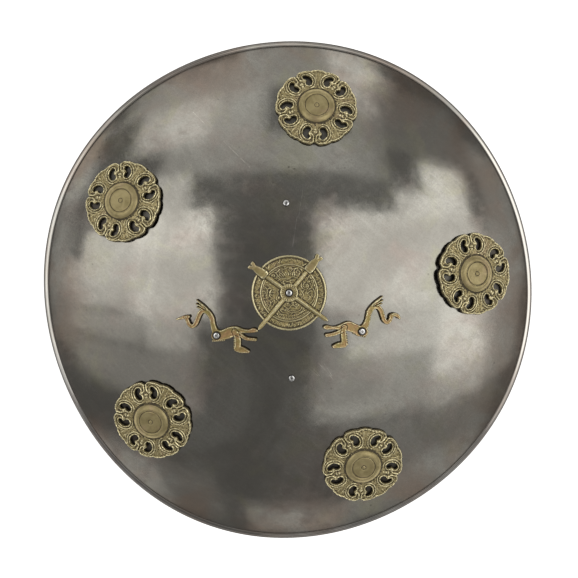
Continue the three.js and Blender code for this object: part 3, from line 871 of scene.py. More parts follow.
@dataclass(frozen=True)
class RivetSteel(Finish):
    """Bright smooth steel, with painted shade in its hole and round its foot."""

    bright: Colour = (0.78, 0.78, 0.77, 1.0)
    dull: Colour = (0.5, 0.49, 0.47, 1.0)
    grime_and_shade: Colour = (0.03, 0.028, 0.025, 1.0)

    def paint(self, g: ShaderGraph, shader: bpy.types.NodeInputs, effects: Effects) -> None:
        """Wires the rivets' steel: bright, dulled in patches, with fine scuffs.

        Args:
            g: The material's graph.
            shader: The main shader's input sockets.
            effects: The shared effects.
        """
        place = g.place()
        wear = g.shared(effects.wear, Relief=g.relief(), Place=place, Rub=0.5, Grime=0.25)
        dull = g.mask(effects.patches, Place=place, Scale=500.0, Low=0.4, High=0.8)
        # The dark layer is painted shade in the mandrel hole and round the head's foot.
        tone = g.mix(self.bright, [(g.times(dull, 0.2), self.dull), (wear.outputs["GrimeAndShade"], self.grime_and_shade)])
        g.link(tone, shader["Base Color"])
        shader["Metallic"].default_value = 1.0
        g.link(g.ramp(dull, 0.0, 1.0, 0.16, 0.3), shader["Roughness"])
        g.link(g.bump(g.noise(place, 2600.0), 0.15, 0.0001), shader["Normal"])


@dataclass(frozen=True)
class GripSteel(Finish):
    """Dark flat bar with its mill scale, rubbed where the hand holds it."""

    scale: Colour = (0.10, 0.095, 0.09, 1.0)
    bare: Colour = (0.32, 0.31, 0.29, 1.0)
    rust: Colour = (0.09, 0.05, 0.035, 1.0)

    def paint(self, g: ShaderGraph, shader: bpy.types.NodeInputs, effects: Effects) -> None:
        """Wires the grip's steel: scale, rubbed patches and rusty pits.

        Args:
            g: The material's graph.
            shader: The main shader's input sockets.
            effects: The shared effects.
        """
        place = g.place()
        rubbed = g.mask(effects.patches, Place=place, Scale=45.0, Low=0.42, High=0.66)
        pits = g.mask(effects.pits, Place=place, Scale=400.0, Share=0.35)
        layers = [(rubbed, self.bare), (g.times(pits, 0.8), self.rust)]
        g.link(g.mix(self.scale, layers), shader["Base Color"])
        g.link(g.ramp(rubbed, 0.0, 1.0, 0.75, 1.0), shader["Metallic"])
        g.link(g.ramp(rubbed, 0.0, 1.0, 0.55, 0.36), shader["Roughness"])
        rolled = g.mask(effects.rubbing, Place=place, Along=900.0, Across=30.0, Turn=0.03)
        g.link(g.bump(g.math("SUBTRACT", g.times(rolled, 0.5), pits), 0.3, 0.0003), shader["Normal"])


@dataclass(frozen=True)
class FloorPaper(Finish):
    """A plain pale studio floor."""

    tone: Colour = (0.93, 0.93, 0.93, 1.0)
    shade: Colour = (0.91, 0.91, 0.91, 1.0)
    glow: float = 0.72

    def paint(self, g: ShaderGraph, shader: bpy.types.NodeInputs, effects: Effects) -> None:
        """Wires the paper: pale, very faintly mottled, with a glow of its own.

        Args:
            g: The material's graph.
            shader: The main shader's input sockets.
            effects: The shared effects.
        """
        mottle = g.mask(effects.patches, Place=g.place(), Scale=3.0, Low=0.3, High=0.7)
        g.link(g.mix(self.tone, [(mottle, self.shade)]), shader["Base Color"])
        shader["Roughness"].default_value = 0.9
        shader["Emission Color"].default_value = (1.0, 1.0, 1.0, 1.0)
        shader["Emission Strength"].default_value = self.glow


def dress(piece: bpy.types.Object, node: str, slot: Slot, material: bpy.types.Material) -> None:
    """Gives a piece its finish and hides the solid that it replaces.

    Args:
        piece: The piece.
        node: The solid that it replaces.
        slot: The material slot; not used.
        material: Its finish.
    """
    piece.data.materials.append(material)
    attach(piece, "root")
    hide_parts(node)
    log.info("%s: %d faces", piece.name, len(piece.data.polygons))


# The pieces


@dataclass(frozen=True)
class ShieldPlate:
    """The raised steel dome with its turned-down lip."""

    dome: DomeShape
    around: int = 400
    outer_rings: int = 120
    inner_rings: int = 30
    inset: float = 0.0007
    swell: float = 0.16
    bend: float = 1.6
    foot_round: float = 0.45
    # Painted light in the marks of the bend, the lip and the foot: a painted highlight on the lip, painted
    # shade in the crease and at the foot.
    bend_sheen_and_shade: tuple[float, ...] = (0.6, 0.2, -0.3, -0.7, -0.9, -0.7, -0.35, -0.15)
    lip_rings: tuple[float, ...] = (8.2, 7.2, 6.2, 5.4, 4.2, 3.2, 2.2)
    lip_sheen_and_shade: tuple[float, ...] = (-0.9, -0.8, -0.35, 0.5, 0.9, 1.0, 0.9)
    lip_start: float = 217.0
    foot_shade: float = -0.3

    def _ring(self, reach: float, share: float, height: Callable[[Array], Array]) -> Array:
        """One ring of the plate.

        Args:
            reach: Its mean radius, if it lay at the rim.
            share: How far out it lies, from 0 on the axis to 1 at the rim, and its share of the waves.
            height: Its heights, from its radii.

        Returns:
            The ring's points.
        """
        bearing = np.arange(self.around) * 2 * math.pi / self.around
        radius = share * (reach + self.dome.rim_deviation(bearing))
        return np.column_stack([polar(radius, bearing), height(radius)])

    def _arch(self, edge: float, inset: float, rings: int) -> list[Array]:
        """Rings of the dome from near its apex out to an edge, a little uneven from the hammer.

        Args:
            edge: Mean radius of the last ring.
            inset: How far the surface lies inside the outer one.
            rings: How many rings there are.

        Returns:
            Each ring's points.
        """
        made = []
        for k in range(1, rings + 1):
            ring = self._ring(edge, k / rings, lambda radius: self.dome.height(radius, inset))
            x, y = ring[:, 0], ring[:, 1]
            uneven = grain(x, y, 62.0, 11) * 0.7 + grain(x + 31, y - 17, 34.0, 12) * 0.3
            ring[:, 2] += self.swell * uneven * smooth(1.0, 0.96, k / rings)
            made.append(ring)
        return made

    @staticmethod
    def _toward(start: Array, end: Array, distance: float) -> Array:
        """The ring at a distance from one ring towards another."""
        return start + (end - start) * distance / np.linalg.norm(end - start, axis=1, keepdims=True)

    def _bent(self, before: Array, knee: Array, after: Array, size: float, steps: int) -> list[Array]:
        """Rings round a bend.

        Args:
            before: A ring on the side where the bend starts.
            knee: The ring where the two sides would meet.
            after: A ring on the side where it ends.
            size: How far from the knee it starts and ends.
            steps: How many rings there are.

        Returns:
            Each ring's points.
        """
        start, end = self._toward(knee, before, size), self._toward(knee, after, size)
        return [(1 - t) ** 2 * start + 2 * t * (1 - t) * knee + t**2 * end for t in np.linspace(0, 1, steps)]

    def _lip_painted_light(self, bearing: Array) -> Array:
        """Painted reflection and painted shade on the lip: bright at the sides, dull at the top, black at the
        foot.
        """
        patchy = grain(bearing * 14, np.zeros_like(bearing), 1.0, 14) * 0.12
        # Painted shade by bearing: darkest at the bottom, less at the top, and some on the left.
        stained = 1.6 * smooth(0.15, 0.65, -np.sin(bearing)) + 1.15 * smooth(0.45, 0.95, np.sin(bearing))
        return patchy - stained - 0.42 * smooth(0.0, -0.4, np.cos(bearing))

    def surface(self) -> Surface:
        """Builds the sheet: inside, foot, lip and outside, in one closed mesh.

        Returns:
            The surface.
        """
        dome = self.dome
        slope = dome.slope(dome.crease_radius)
        length = math.hypot(dome.lip_run, dome.lip_drop)
        normal = np.array([math.sin(slope), math.cos(slope)])
        lip_normal = np.array([dome.lip_drop, dome.lip_run]) / length
        mitre = (normal + lip_normal) * dome.plate_thickness / (1 + normal @ lip_normal)
        width = dome.plate_thickness * length / dome.lip_drop

        outer = self._arch(dome.crease_radius, 0.0, self.outer_rings)
        inner = self._arch(dome.crease_radius - mitre[0], dome.plate_thickness, self.inner_rings)
        foot, inner_foot = (self._ring(reach, 1.0, np.zeros_like)
                            for reach in (dome.rim_radius, dome.rim_radius - width))
        toe = self._bent(inner[-1], inner_foot, foot, self.foot_round, 4)
        heel = self._bent(inner_foot, foot, outer[-1], self.foot_round, 4)
        lip = [outer[-1] + (foot - outer[-1]) * reach / length for reach in self.lip_rings]
        bend = self._bent(foot, outer[-1], outer[-3], self.bend, len(self.bend_sheen_and_shade))
        outside = [self._toward(outer[-1], outer[-3], 2.6), *outer[-3::-1]]
        rings = [*inner, *toe, *heel, *lip, *bend, *outside]
        marks = [0.0] * len(inner) + [self.foot_shade] * len(toe + heel)
        marks += [*self.lip_sheen_and_shade, *self.bend_sheen_and_shade] + [0.0] * len(outside)

        made = skin(rings, (float(dome.height(0, dome.plate_thickness)), float(dome.height(0))), marks)
        made.points[:, :2] *= 1 - self.inset
        x, y = made.points[:, 0], made.points[:, 1]
        # Painted reflection and painted shade on the lip, by bearing.
        on_lip = (np.hypot(x, y) > self.lip_start) & (made.relief > 0)
        made.relief += self._lip_painted_light(np.arctan2(y, x)) * on_lip
        return made

    def build(self, finish: PlateSteel, effects: Effects) -> None:
        """Makes and dresses the plate."""
        piece = self.surface().piece("plate_raised", self.dome.axis(), sharp=60.0)
        dress(piece, "shield_plate", Slot.PLATE, finish.material(effects))


@dataclass(frozen=True)
class Rosette:
    """The pierced cast rosette, with its stud."""

    radius: float = 37.0
    thickness: float = 2.2
    dish: float = 3.0
    stand_off: float = 0.8
    fold: float = 72.0
    notch_depth: float = 2.6
    notch_width: float = 4.0
    scallop_depth: float = 0.8
    scroll_radius: float = 26.2
    scroll_side: float = 4.6
    opening_bend: float = 3.9
    opening_half_width: float = 2.3
    opening_span: float = 56.0
    boss_radius: float = 16.5
    boss_steps: tuple[tuple[float, float], ...] = (
        (0.0, 2.35), (0.9, 2.3), (1.3, 2.1), (1.7, 1.7), (2.2, 1.7), (2.7, 2.0), (3.2, 2.05), (9.4, 2.2),
        (9.9, 2.1), (10.25, 1.65), (10.6, 1.85), (11.2, 2.5), (12.2, 2.7), (13.4, 2.35), (14.6, 1.75),
        (15.5, 1.15), (16.0, 0.6), (16.3, 0.0), (16.7, -0.4), (17.3, -0.25))
    stud_radius: float = 3.0
    stud_head_radius: float = 5.0
    edge_radius: float = 0.8
    step: float = 0.42

    def _folded(self, x: Array, y: Array) -> tuple[Array, ...]:
        """Folds the plane onto half of one scroll pair.

        Args:
            x: First coordinate.
            y: Second coordinate.

        Returns:
            The radius, the angle from the nearest notch in degrees, and the places across and along its axis.
        """
        radius = np.hypot(x, y)
        angle = np.abs((np.degrees(np.arctan2(y, x)) + self.fold / 2) % self.fold - self.fold / 2)
        return radius, angle, radius * np.sin(np.radians(angle)), radius * np.cos(np.radians(angle))

    def _edge(self, angle: Array) -> Array:
        """Radius of the outline at an angle from a notch."""
        notch = self.notch_depth * np.exp(-((angle / self.notch_width) ** 2))
        scallop = self.scallop_depth * bead(angle - 24.5, 7.0)
        ripple = 0.12 * (1 - np.cos(angle / self.fold * 20 * np.pi)) * (angle > 12)
        return self.radius - notch - scallop - ripple

    def _opening(self, across: Array, along: Array) -> Array:
        """Distance from the bean-shaped opening, negative inside it."""
        px, py = across - self.scroll_side, along - self.scroll_radius
        reach = math.radians(self.opening_span)
        held = np.clip(np.arctan2(py, px), -reach, reach)
        half = self.opening_half_width - 0.35 * np.sin(held)
        return np.hypot(px - self.opening_bend * np.cos(held), py - self.opening_bend * np.sin(held)) - half

    def outline(self, x: Array, y: Array) -> Array:
        """Distance from the casting's outline and openings, negative on the casting."""
        radius, angle, across, along = self._folded(x, y)
        return np.maximum(radius - self._edge(angle), -self._opening(across, along))

    def back(self, x: Array, y: Array) -> Array:
        """Height of the dished back."""
        return self.stand_off + self.dish * (1 - (x**2 + y**2) / self.radius**2)

    def _carving(self, x: Array, y: Array) -> Array:
        """Height of the wires, scrolls and beads over the ground of the plate.

        Args:
            x: First coordinate.
            y: Second coordinate.

        Returns:
            The height at each place.
        """
        radius, angle, across, along = self._folded(x, y)
        edge, hole = self._edge(angle) - radius, self._opening(across, along)
        nicks = 0.35 * bead((angle % 5.2) - 2.6, 0.8) * (angle > 15)
        palmette = smooth(3.0, 6.0, across) * smooth(self.boss_radius + 0.6, self.boss_radius + 2.0, radius)
        middle = np.abs(angle - self.fold / 2) * np.radians(radius)
        leaf = bead(middle - 1.9, 0.7) * smooth(20.0, 23.0, radius) * smooth(35.2, 32.0, radius)
        hook = smooth_path([(1.6, 35.0), (1.15, 32.4), (1.1, 30.0), (1.9, 28.0), (3.4, 27.1)])
        eye = np.hypot(across - self.scroll_side + 0.5, along - self.scroll_radius - 0.7)
        raised = [
            0.95 * bead(hole - 0.8, 0.8),  # wire round the opening
            (0.95 - nicks) * bead(edge - 0.95, 0.95),  # wire along the border, nicked across the palmette
            0.75 * palmette * bead(hole - 3.0, 0.75),  # two more lines that follow the opening
            0.4 * palmette * bead(hole - 4.9, 0.6),
            0.45 * leaf,
            0.95 * bead(line_distance(across, along, [hook]), 0.85),  # the wire turns in at the notch
            1.15 * cap(eye, 1.9) - 0.4 * bead(eye - 1.1, 0.5),  # and ends in the scroll's eye
            np.zeros_like(radius),
        ]
        for up, size in ((20.4, 0.95), (22.6, 1.1), (25.0, 0.95)):
            raised.append(0.75 * cap(np.hypot(across - 0.25 * (up - 22.6), along - up), size))
        return np.maximum.reduce(raised) - 0.9 * bead(across, 0.6) * smooth(28.2, 29.8, along)

    def face(self, x: Array, y: Array) -> Array:
        """Height of the face with its carving and its boss.

        Args:
            x: First coordinate.
            y: Second coordinate.

        Returns:
            The height at each place.
        """
        radius, angle, across, along = self._folded(x, y)
        ground = self.back(x, y) + self.thickness - 0.25
        raised = self._carving(x, y)
        rough = grain(x, y, 0.8, 21) * 0.24 + grain(x, y, 1.9, 22) * 0.16
        on_plate = smooth(self.boss_radius - 0.4, self.boss_radius + 1.0, radius)
        plate = ground + (raised + rough * (1 - 0.6 * np.clip(raised, 0, 1))) * on_plate
        edge = np.minimum(self._edge(angle) - radius, self._opening(across, along))

        boss = self.dish + self.stand_off + self.thickness + np.interp(radius, *zip(*self.boss_steps))
        boss = boss + grain(x, y, 6.0, 23) * 0.06 + grain(x, y, 1.6, 24) * 0.02
        on_boss = radius < self.boss_radius + 0.5
        return np.where(on_boss, np.maximum(boss, ground - 0.45), plate - rounding(edge, self.edge_radius))

    def mask(self, worn: Array, x: Array, y: Array) -> Array:
        """Wear of the face with the boss left even: its grooves and a line round its foot stay dark."""
        radius = np.hypot(x, y)
        even = np.where(radius < self.boss_radius - 0.4, np.clip(worn, -0.25, 0.06), worn)
        return even - 0.35 * bead(radius - self.boss_radius + 0.05, 0.45)

    def stud(self, lean: float, dome: DomeShape, stand_off: float) -> Surface:
        """The stud on the casting's back, hammered over inside the plate.

        Args:
            lean: How far the rosette tips outwards, in degrees.
            dome: The dome that it goes through.
            stand_off: How far the casting's edge stands off the plate.

        Returns:
            The stud.
        """
        head, shank = self.stud_head_radius, self.stud_radius
        under = -dome.plate_thickness - 0.72 - head * math.sin(math.radians(lean))
        top = stand_off + self.dish + 0.4
        hammered = ((0.45, 1.2), (0.78, 0.95), (0.95, 0.5), (1.0, 0.15), (0.97, 0.0))
        profile = [(share * head, under - drop, 0.0) for share, drop in hammered]
        made = turned([*profile, (shank, under, 0.0), (shank, top, 0.0)], (under - 1.25, top + 0.2), 28)
        x, y, z = made.points.T
        lump = grain(x, y, 2.2, 31) * 0.14
        wider = 1 + np.where(np.hypot(x, y) > shank + 0.2, lump * 0.5, 0)
        made.points = np.column_stack([x * wider, y * wider, z + np.where(z < under - 0.4, lump, 0)])
        return made


@dataclass(frozen=True)
class RosettePlace:
    """Where one rosette sits on the dome, in millimetres and degrees."""

    node: str
    outside: float
    stand_off: float
    bearing: float
    turn: float
    lean: float


@dataclass(frozen=True)
class RosetteRing:
    """The five rosettes round the dome."""

    dome: DomeShape
    mould: Rosette = Rosette()
    inset: float = 57.0
    painted_shade_inset: float = 1.4
    places: tuple[RosettePlace, ...] = (
        RosettePlace("rosette_right", -2.0, 0.8, 5.4, 27.0, 3.0),
        RosettePlace("rosette_top", -2.0, -0.9, 81.4, 50.0, 0.0),
        RosettePlace("rosette_left", -0.4, 0.2, 151.5, 26.0, 2.0),
        RosettePlace("rosette_lower_left", -0.4, -0.4, 223.4, 27.0, 1.0),
        RosettePlace("rosette_lower_right", 1.6, -0.9, 293.1, 52.0, 0.0),
    )

    def seat(self, place: RosettePlace) -> Matrix:
        """The frame of a rosette at its place."""
        ring = self.dome.rim_radius - self.inset
        return self.dome.seat(ring + place.outside, place.bearing, place.turn, place.lean)

    def painted_shade(self) -> list[tuple[Vector, float]]:
        """Middle and radius, in metres, of the painted shade under each rosette."""
        radius = (self.mould.radius - self.painted_shade_inset) * MILLIMETRE
        return [(self.seat(place).translation * MILLIMETRE, radius) for place in self.places]

    def build(self, finish: CastBrass, effects: Effects) -> None:
        """Casts one rosette and sets it five times."""
        mould, material = self.mould, finish.material(effects)
        size = mould.radius + 0.5
        plain = Casting(mould.outline, mould.face, mould.back, (-size, size, -size, size), mould.step,
                        mould.mask).surface()
        for place in self.places:
            lift = [0.0, 0.0, place.stand_off - mould.stand_off]
            lifted = Surface(plain.points + lift, plain.faces, plain.relief)
            whole = lifted.joined(mould.stud(place.lean, self.dome, place.stand_off))
            piece = whole.piece(f"cast_{place.node}", self.seat(place), sharp=50.0)
            dress(piece, place.node, Slot.ROSETTE, material)


@dataclass(frozen=True)
class RivetedCasting:
    """What the badge and the beasts share: a flat back, a rivet hole and a ring of painted shade round it."""

    dome: DomeShape
    gap: float = 0.3
    hole: float = 1.9
    painted_shade_radius: float = 4.1

    def back(self, x: Array, y: Array) -> Array:
        """Height of the flat back."""
        return np.full_like(x, self.gap)

    def mask(self, worn: Array, x: Array, y: Array) -> Array:
        """Wear of the face with the ring of painted shade round the rivet."""
        return worn - 1.2 * smooth(self.painted_shade_radius, self.painted_shade_radius - 0.6, np.hypot(x, y))


@dataclass(frozen=True)
class Badge(RivetedCasting):
    """The round cast badge: rim, band of strokes, ornamented field, hub and two crossed swords."""

    radius: float = 33.3
    thickness: float = 2.4
    turn: float = 7.0
    rim_width: float = 2.1
    field_radius: float = 25.0
    hub_radius: float = 7.8
    band_radius: float = 28.9
    sword_half_length: float = 42.5
    sword_cross: float = 94.0
    blade_half_width: float = 1.9
    hilt_length: float = 18.0
    hilt_widths: tuple[tuple[float, float], ...] = (
        (0, 3.5), (1.0, 3.75), (2.6, 3.4), (4.2, 2.5), (5.6, 2.55), (8.0, 3.3), (12.0, 3.9), (15.8, 4.05),
        (17.4, 3.4), (18.0, 2.6))
    hub_steps: tuple[tuple[float, float], ...] = (
        (0, 0.75), (4.0, 0.75), (4.4, 0.5), (4.9, 0.5), (6.9, 0.55), (7.3, 0.95), (7.8, 0.75), (8.1, 0.0))
    edge_radius: float = 0.55
    step: float = 0.3
    strokes: int = 64
    # Spirals of the field: middle, outer radius, turns, bearing of the outer end, and which way it winds
    spirals: tuple[tuple[float, ...], ...] = (
        (-11.5, 16.2, 4.2, 1.6, 200, -1), (9.5, 17.0, 4.4, 1.7, -20, 1), (-4.5, 19.5, 2.4, 1.2, 90, 1),
        (3.2, 20.2, 2.2, 1.2, 90, -1), (-14.6, 1.6, 3.0, 1.3, 60, 1), (-22.0, 3.5, 2.0, 1.1, 0, -1),
        (20.6, 11.2, 2.1, 1.2, 180, -1), (5.4, -11.2, 1.9, 1.2, 200, 1), (-4.4, -14.4, 1.7, 1.1, 20, -1))
    # Waved arcs: radius, bearings of both ends, height of the wave and how many there are
    arcs: tuple[tuple[float, ...], ...] = (
        (21.8, 62, 118, 0.7, 3), (18.6, 232, 308, 1.3, 1.5), (16.9, 236, 304, 1.3, 1.5))
    # Curves of the upper, the left, the right and the lower part
    curves: tuple[tuple[tuple[float, float], ...], ...] = (
        ((-9, 11.5), (-4.5, 13.6), (0, 12.2), (4.5, 13.8), (9.4, 11.6)),
        ((-5.6, 9.4), (-2.6, 11), (0.6, 9.8), (4, 11), (6.4, 9.2)),
        ((-21.5, 8.5), (-18.5, 4.5), (-20.5, -1.5), (-17, -6.5), (-19.5, -11.5), (-16, -14.2),
         (-13.2, -12.4)),
        ((-18.2, 9.5), (-15.4, 5.2), (-17.4, -0.5), (-13.6, -5.2), (-15.6, -10)),
        ((-12.2, 4.4), (-9.6, 1), (-11.8, -3.6), (-9.4, -7.2)),
        ((-22.6, -4.2), (-21.4, -8.2), (-22, -11)),
        ((22.6, 8.2), (21.2, 2.4), (22.6, -3.2), (19.6, -9.6), (14.6, -13.2)),
        ((10.6, 1.2), (12.4, -3.4), (10.2, -6.2), (13.4, -9.6), (17.8, -6.2), (16.2, -2.6), (19.4, -0.4)),
        ((10.8, 7.6), (12.8, 10.4), (17.2, 11.2)),
        ((-6.2, -10.6), (-2, -13.8), (1.4, -11), (5.8, -14.2)))
    # Rows of short radial lines: how many, bearing of the first and the next one, both radii and the lean
    combs: tuple[tuple[float, ...], ...] = (
        (9, 66.0, 6.0, 15.4, 18.4, 0.05), (15, 238.0, 4.6, 22.0, 23.6, 0.07),
        (26, 0.0, 360 / 26, 5.0, 6.6, 0.0))
    lines: list[Array] = field(default_factory=list)

    def _sword_frames(self, x: Array, y: Array) -> list[tuple[Array, Array]]:
        """Places along each sword from its middle, point last, and across it."""
        bearings = [math.radians(-90 + side * self.sword_cross / 2) for side in (1, -1)]
        return [(x * math.cos(b) + y * math.sin(b), -x * math.sin(b) + y * math.cos(b)) for b in bearings]

    def _hilt_width(self, along: Array) -> Array:
        """Half width of a hilt at a place along the sword."""
        return np.interp(along + self.sword_half_length, *zip(*self.hilt_widths))

    def _hilt(self, along: Array, across: Array) -> Array:
        """Distance from a hilt with its forked pommel, negative inside it."""
        from_end = along + self.sword_half_length
        body = np.maximum(np.abs(across) - self._hilt_width(along), from_end - self.hilt_length)
        return np.maximum.reduce([body, -from_end, 0.75 - 0.34 * from_end - np.abs(across)])

    def _blade(self, along: Array, across: Array) -> Array:
        """Distance from a blade, negative inside it."""
        start, tip = self.hilt_length - 1 - self.sword_half_length, self.sword_half_length
        width = self.blade_half_width * smooth(tip + 0.6, tip - 4.2, along) ** 0.6
        return np.maximum.reduce([np.abs(across) - width, start - along, along - tip])

    def outline(self, x: Array, y: Array) -> Array:
        """Distance from the badge's outline, negative on it."""
        shapes = [np.hypot(x, y) - self.radius]
        for sword in self._sword_frames(x, y):
            shapes += [self._hilt(*sword), self._blade(*sword)]
        return np.maximum(np.minimum.reduce(shapes), self.hole - np.hypot(x, y))

    @staticmethod
    def _spiral(x: float, y: float, size: float, turns: float, start: float, way: int) -> Array:
        """Points of a spiral that winds inwards.

        Args:
            x: First coordinate of its middle.
            y: Second coordinate of its middle.
            size: Its outer radius.
            turns: How many times it winds round.
            start: Bearing of its outer end in degrees.
            way: 1 to wind to the left, -1 to wind to the right.

        Returns:
            The points, one row each.
        """
        t = np.linspace(0, 1, int(18 * turns) + 6)
        return polar(size * (1 - 0.85 * t), math.radians(start) + way * t * turns * 2 * math.pi) + [x, y]

    @staticmethod
    def _arc(radius: float, start: float, end: float, wave: float, waves: float) -> Array:
        """Points of a waved arc about the badge's middle, between two bearings in degrees."""
        t = np.linspace(0, 1, 48)
        return polar(radius + wave * np.sin(waves * 2 * math.pi * t), np.radians(start + (end - start) * t))

    def _draw_band(self) -> None:
        """Rows of short raised strokes round the band, side by side in twos that lean the same way."""
        chance = np.random.RandomState(5)
        for bearing in 2 * math.pi * (np.arange(self.strokes) + 0.5) / self.strokes:
            radial = np.array([math.cos(bearing), math.sin(bearing)])
            side = np.array([-radial[1], radial[0]])
            lean = chance.choice([-0.45, -0.2, 0.0, 0.2, 0.45])
            direction = radial * math.cos(lean) + side * math.sin(lean)
            for step in (-0.64, 0.64):
                length = chance.uniform(0.35, 1.5)
                middle = self.band_radius + chance.uniform(-1.0, 1.0)
                centre = radial * middle + side * (step + chance.uniform(-0.12, 0.12))
                self.lines.append(np.vstack([centre - direction * length, centre + direction * length]))

    def _draw_field(self) -> None:
        """Scrolls, waves and combs in the four parts of the field, and small marks wherever it is bare."""
        self.lines.extend(self._spiral(*spiral) for spiral in self.spirals)
        self.lines.extend(self._spiral(15.5, 4.5, size, 1.0, 30 * size, 1)[:-4] for size in (4.6, 3.0, 1.4))
        self.lines.extend(self._arc(*arc) for arc in self.arcs)
        self.lines.extend(smooth_path(curve) for curve in self.curves)
        for count, first, step, inner, outer, lean in self.combs:
            for bearing in np.radians(first + step * np.arange(count)):
                self.lines.append(polar(np.array([inner, outer]), np.array([bearing, bearing + lean])))

        chance = np.random.RandomState(17)
        taken = list(self.lines)
        for _ in range(900):
            reach, bearing = math.sqrt(chance.uniform(8.9**2, 23.2**2)), chance.uniform(0, 2 * math.pi)
            x, y = reach * math.cos(bearing), reach * math.sin(bearing)
            room = min(float(np.hypot(line[:, 0] - x, line[:, 1] - y).min()) for line in taken)
            if room < 1.25 or any(abs(across) < 3.4 for _, across in self._sword_frames(x, y)):
                continue
            if room > 2.0:
                size, start, way = min(1.5, room - 0.9), chance.uniform(0, 360), int(chance.choice([-1, 1]))
                mark = self._spiral(x, y, size, 0.9, start, way)
            else:
                turn = chance.uniform(0, math.pi)
                half = 0.55 * np.array([math.cos(turn), math.sin(turn)])
                mark = np.vstack([[x, y] - half, [x, y] + half])
            taken.append(mark)
            self.lines.append(mark)

    def face(self, x: Array, y: Array) -> Array:
        """Height of the face with its whole relief.

        Args:
            x: First coordinate.
            y: Second coordinate.

        Returns:
            The height at each place.
        """
        radius, bearing = np.hypot(x, y), np.degrees(np.arctan2(y, x))
        ground = self.gap + self.thickness
        drawn = 0.62 * bead(line_distance(x, y, self.lines), 0.5)
        z = ground + grain(x, y, 0.8, 41) * 0.10 + grain(x, y, 2.5, 42) * 0.08
        z = z + drawn * smooth(self.radius - 1.6, self.radius - 2.4, radius)
        for k in range(15):
            dot = polar(20.6, math.radians(238 + 4.6 * k) + 0.03)[0]
            z = z + 0.5 * cap(np.hypot(x - dot[0], y - dot[1]), 0.55)
        rim = self.radius - 0.5 * self.rim_width
        z = np.maximum(z, ground + 0.85 * bead(radius - rim, 1.15) - 0.1)
        z = z - 0.5 * bead(radius - (rim - 1.6), 0.5)
        for step_in, height, half in ((0.0, 0.6, 0.7), (1.5, 0.45, 0.45)):
            ridge = height * bead(radius - self.field_radius + step_in, half) * (radius > 20)
            z = np.maximum(z, ground + ridge)
        z = self._with_swords(x, y, z)
        ticks = 0.4 * bead(bearing % 18.0 - 9.0, 4.5) * (radius > 5.0) * (radius < 6.9)
        hub = ground + np.interp(radius, *zip(*self.hub_steps)) + ticks
        z = np.where(radius < self.hub_radius + 0.2, hub, z)
        return z - np.where(radius > 4, rounding(-self.outline(x, y), self.edge_radius), 0)

    def _with_swords(self, x: Array, y: Array, z: Array) -> Array:
        """Lays the swords over the face, each in a shallow groove.

        Args:
            x: First coordinate.
            y: Second coordinate.
            z: Height of the face without them.

        Returns:
            The height with them.
        """
        ground = self.gap + self.thickness
        on_disc = np.hypot(x, y) < self.radius - 0.5
        for along, across in self._sword_frames(x, y):
            edge = 1.05 - 0.55 * np.clip(np.abs(across) / self.blade_half_width, 0, 1.4)
            from_end = along + self.sword_half_length
            swell = 0.45 + 0.4 * cap(np.abs(across), self._hilt_width(along) + 0.25)
            collar = bead(from_end - 4.6, 0.6) + bead(from_end - 15.2, 0.5)
            for gap, height, groove in ((self._blade(along, across), np.maximum(edge, 0.2), 0.35),
                                        (self._hilt(along, across), 0.45 + swell + 0.16 * collar, 0.4)):
                z = np.where(gap < 0, ground + height, z)
                z = np.where((gap >= 0) & (gap < 0.7) & on_disc, z - groove * (1 - gap / 0.7), z)
        return z

    def build(self, finish: CastBrass, effects: Effects) -> None:
        """Draws the relief, then makes and dresses the badge."""
        self._draw_band()
        self._draw_field()
        half = self.sword_half_length * 0.8
        span = (-half, half, -half, half)
        casting = Casting(self.outline, self.face, self.back, span, self.step, self.mask)
        piece = casting.surface().piece("cast_badge", self.dome.seat(0.0, 0.0, self.turn), sharp=50.0)
        dress(piece, "sword_badge", Slot.BADGE, finish.material(effects))


@dataclass(frozen=True)
class BeastDrawing:
    """How one beast is drawn, from its rivet, with its head towards -X: each limb's x, y and half width."""

    neck: tuple[Station, ...]
    head: tuple[Station, ...]
    body: tuple[Station, ...]
    raised_leg: tuple[Station, ...]
    standing_leg: tuple[Station, ...]
    paw: tuple[Station, ...]
    crest: tuple[tuple[Station, ...], ...] = (
        ((-4.6, 17.4, 1.5), (-10, 25, 1.5), (-16.9, 31.7, 0.6)),
        ((-7.4, 20.6, 1.5), (-12.4, 25.2, 1.0), (-17.4, 28.4, 0.6)),
        ((-9.4, 21.4, 1.3), (-13, 23.6, 0.9), (-16.8, 25.4, 0.6)),
    )


LEFT_BEAST = BeastDrawing(
    neck=((2.5, -0.5, 4.2), (-1.5, 4.2, 2.8), (-3.1, 10, 2.3), (-3.8, 15, 2.3), (-7.2, 20.6, 2.4),
          (-11.6, 21.9, 2.2), (-14.4, 19.4, 2.2), (-16.7, 14.4, 2.1), (-18.5, 10.6, 2), (-21.4, 8.3, 1.9),
          (-24.5, 10.2, 1.8), (-26.6, 16, 1.7)),
    head=((-24.8, 16.9, 1.5), (-28.6, 16.4, 1.6), (-35.4, 14.7, 0.7)),
    body=((-0.9, -0.5, 4), (6.5, 0.5, 4.5), (12.4, 2.6, 4.8), (17.8, 4.5, 3.2), (23.2, 3.6, 2),
          (29, 3.3, 1.6), (33, 4, 2.1), (35.8, 3.7, 1.2)),
    raised_leg=((15.5, 2.6, 2.4), (21, 0.2, 2), (26.4, -3.3, 1.6), (34.4, -4.3, 1.4)),
    standing_leg=((16.4, 3, 2.8), (18.8, -3.6, 2.8), (18.4, -11.4, 2.8)),
    paw=((17.7, -12.2, 2.7), (22, -13.2, 2.9), (27.8, -14.9, 1.3)),
)
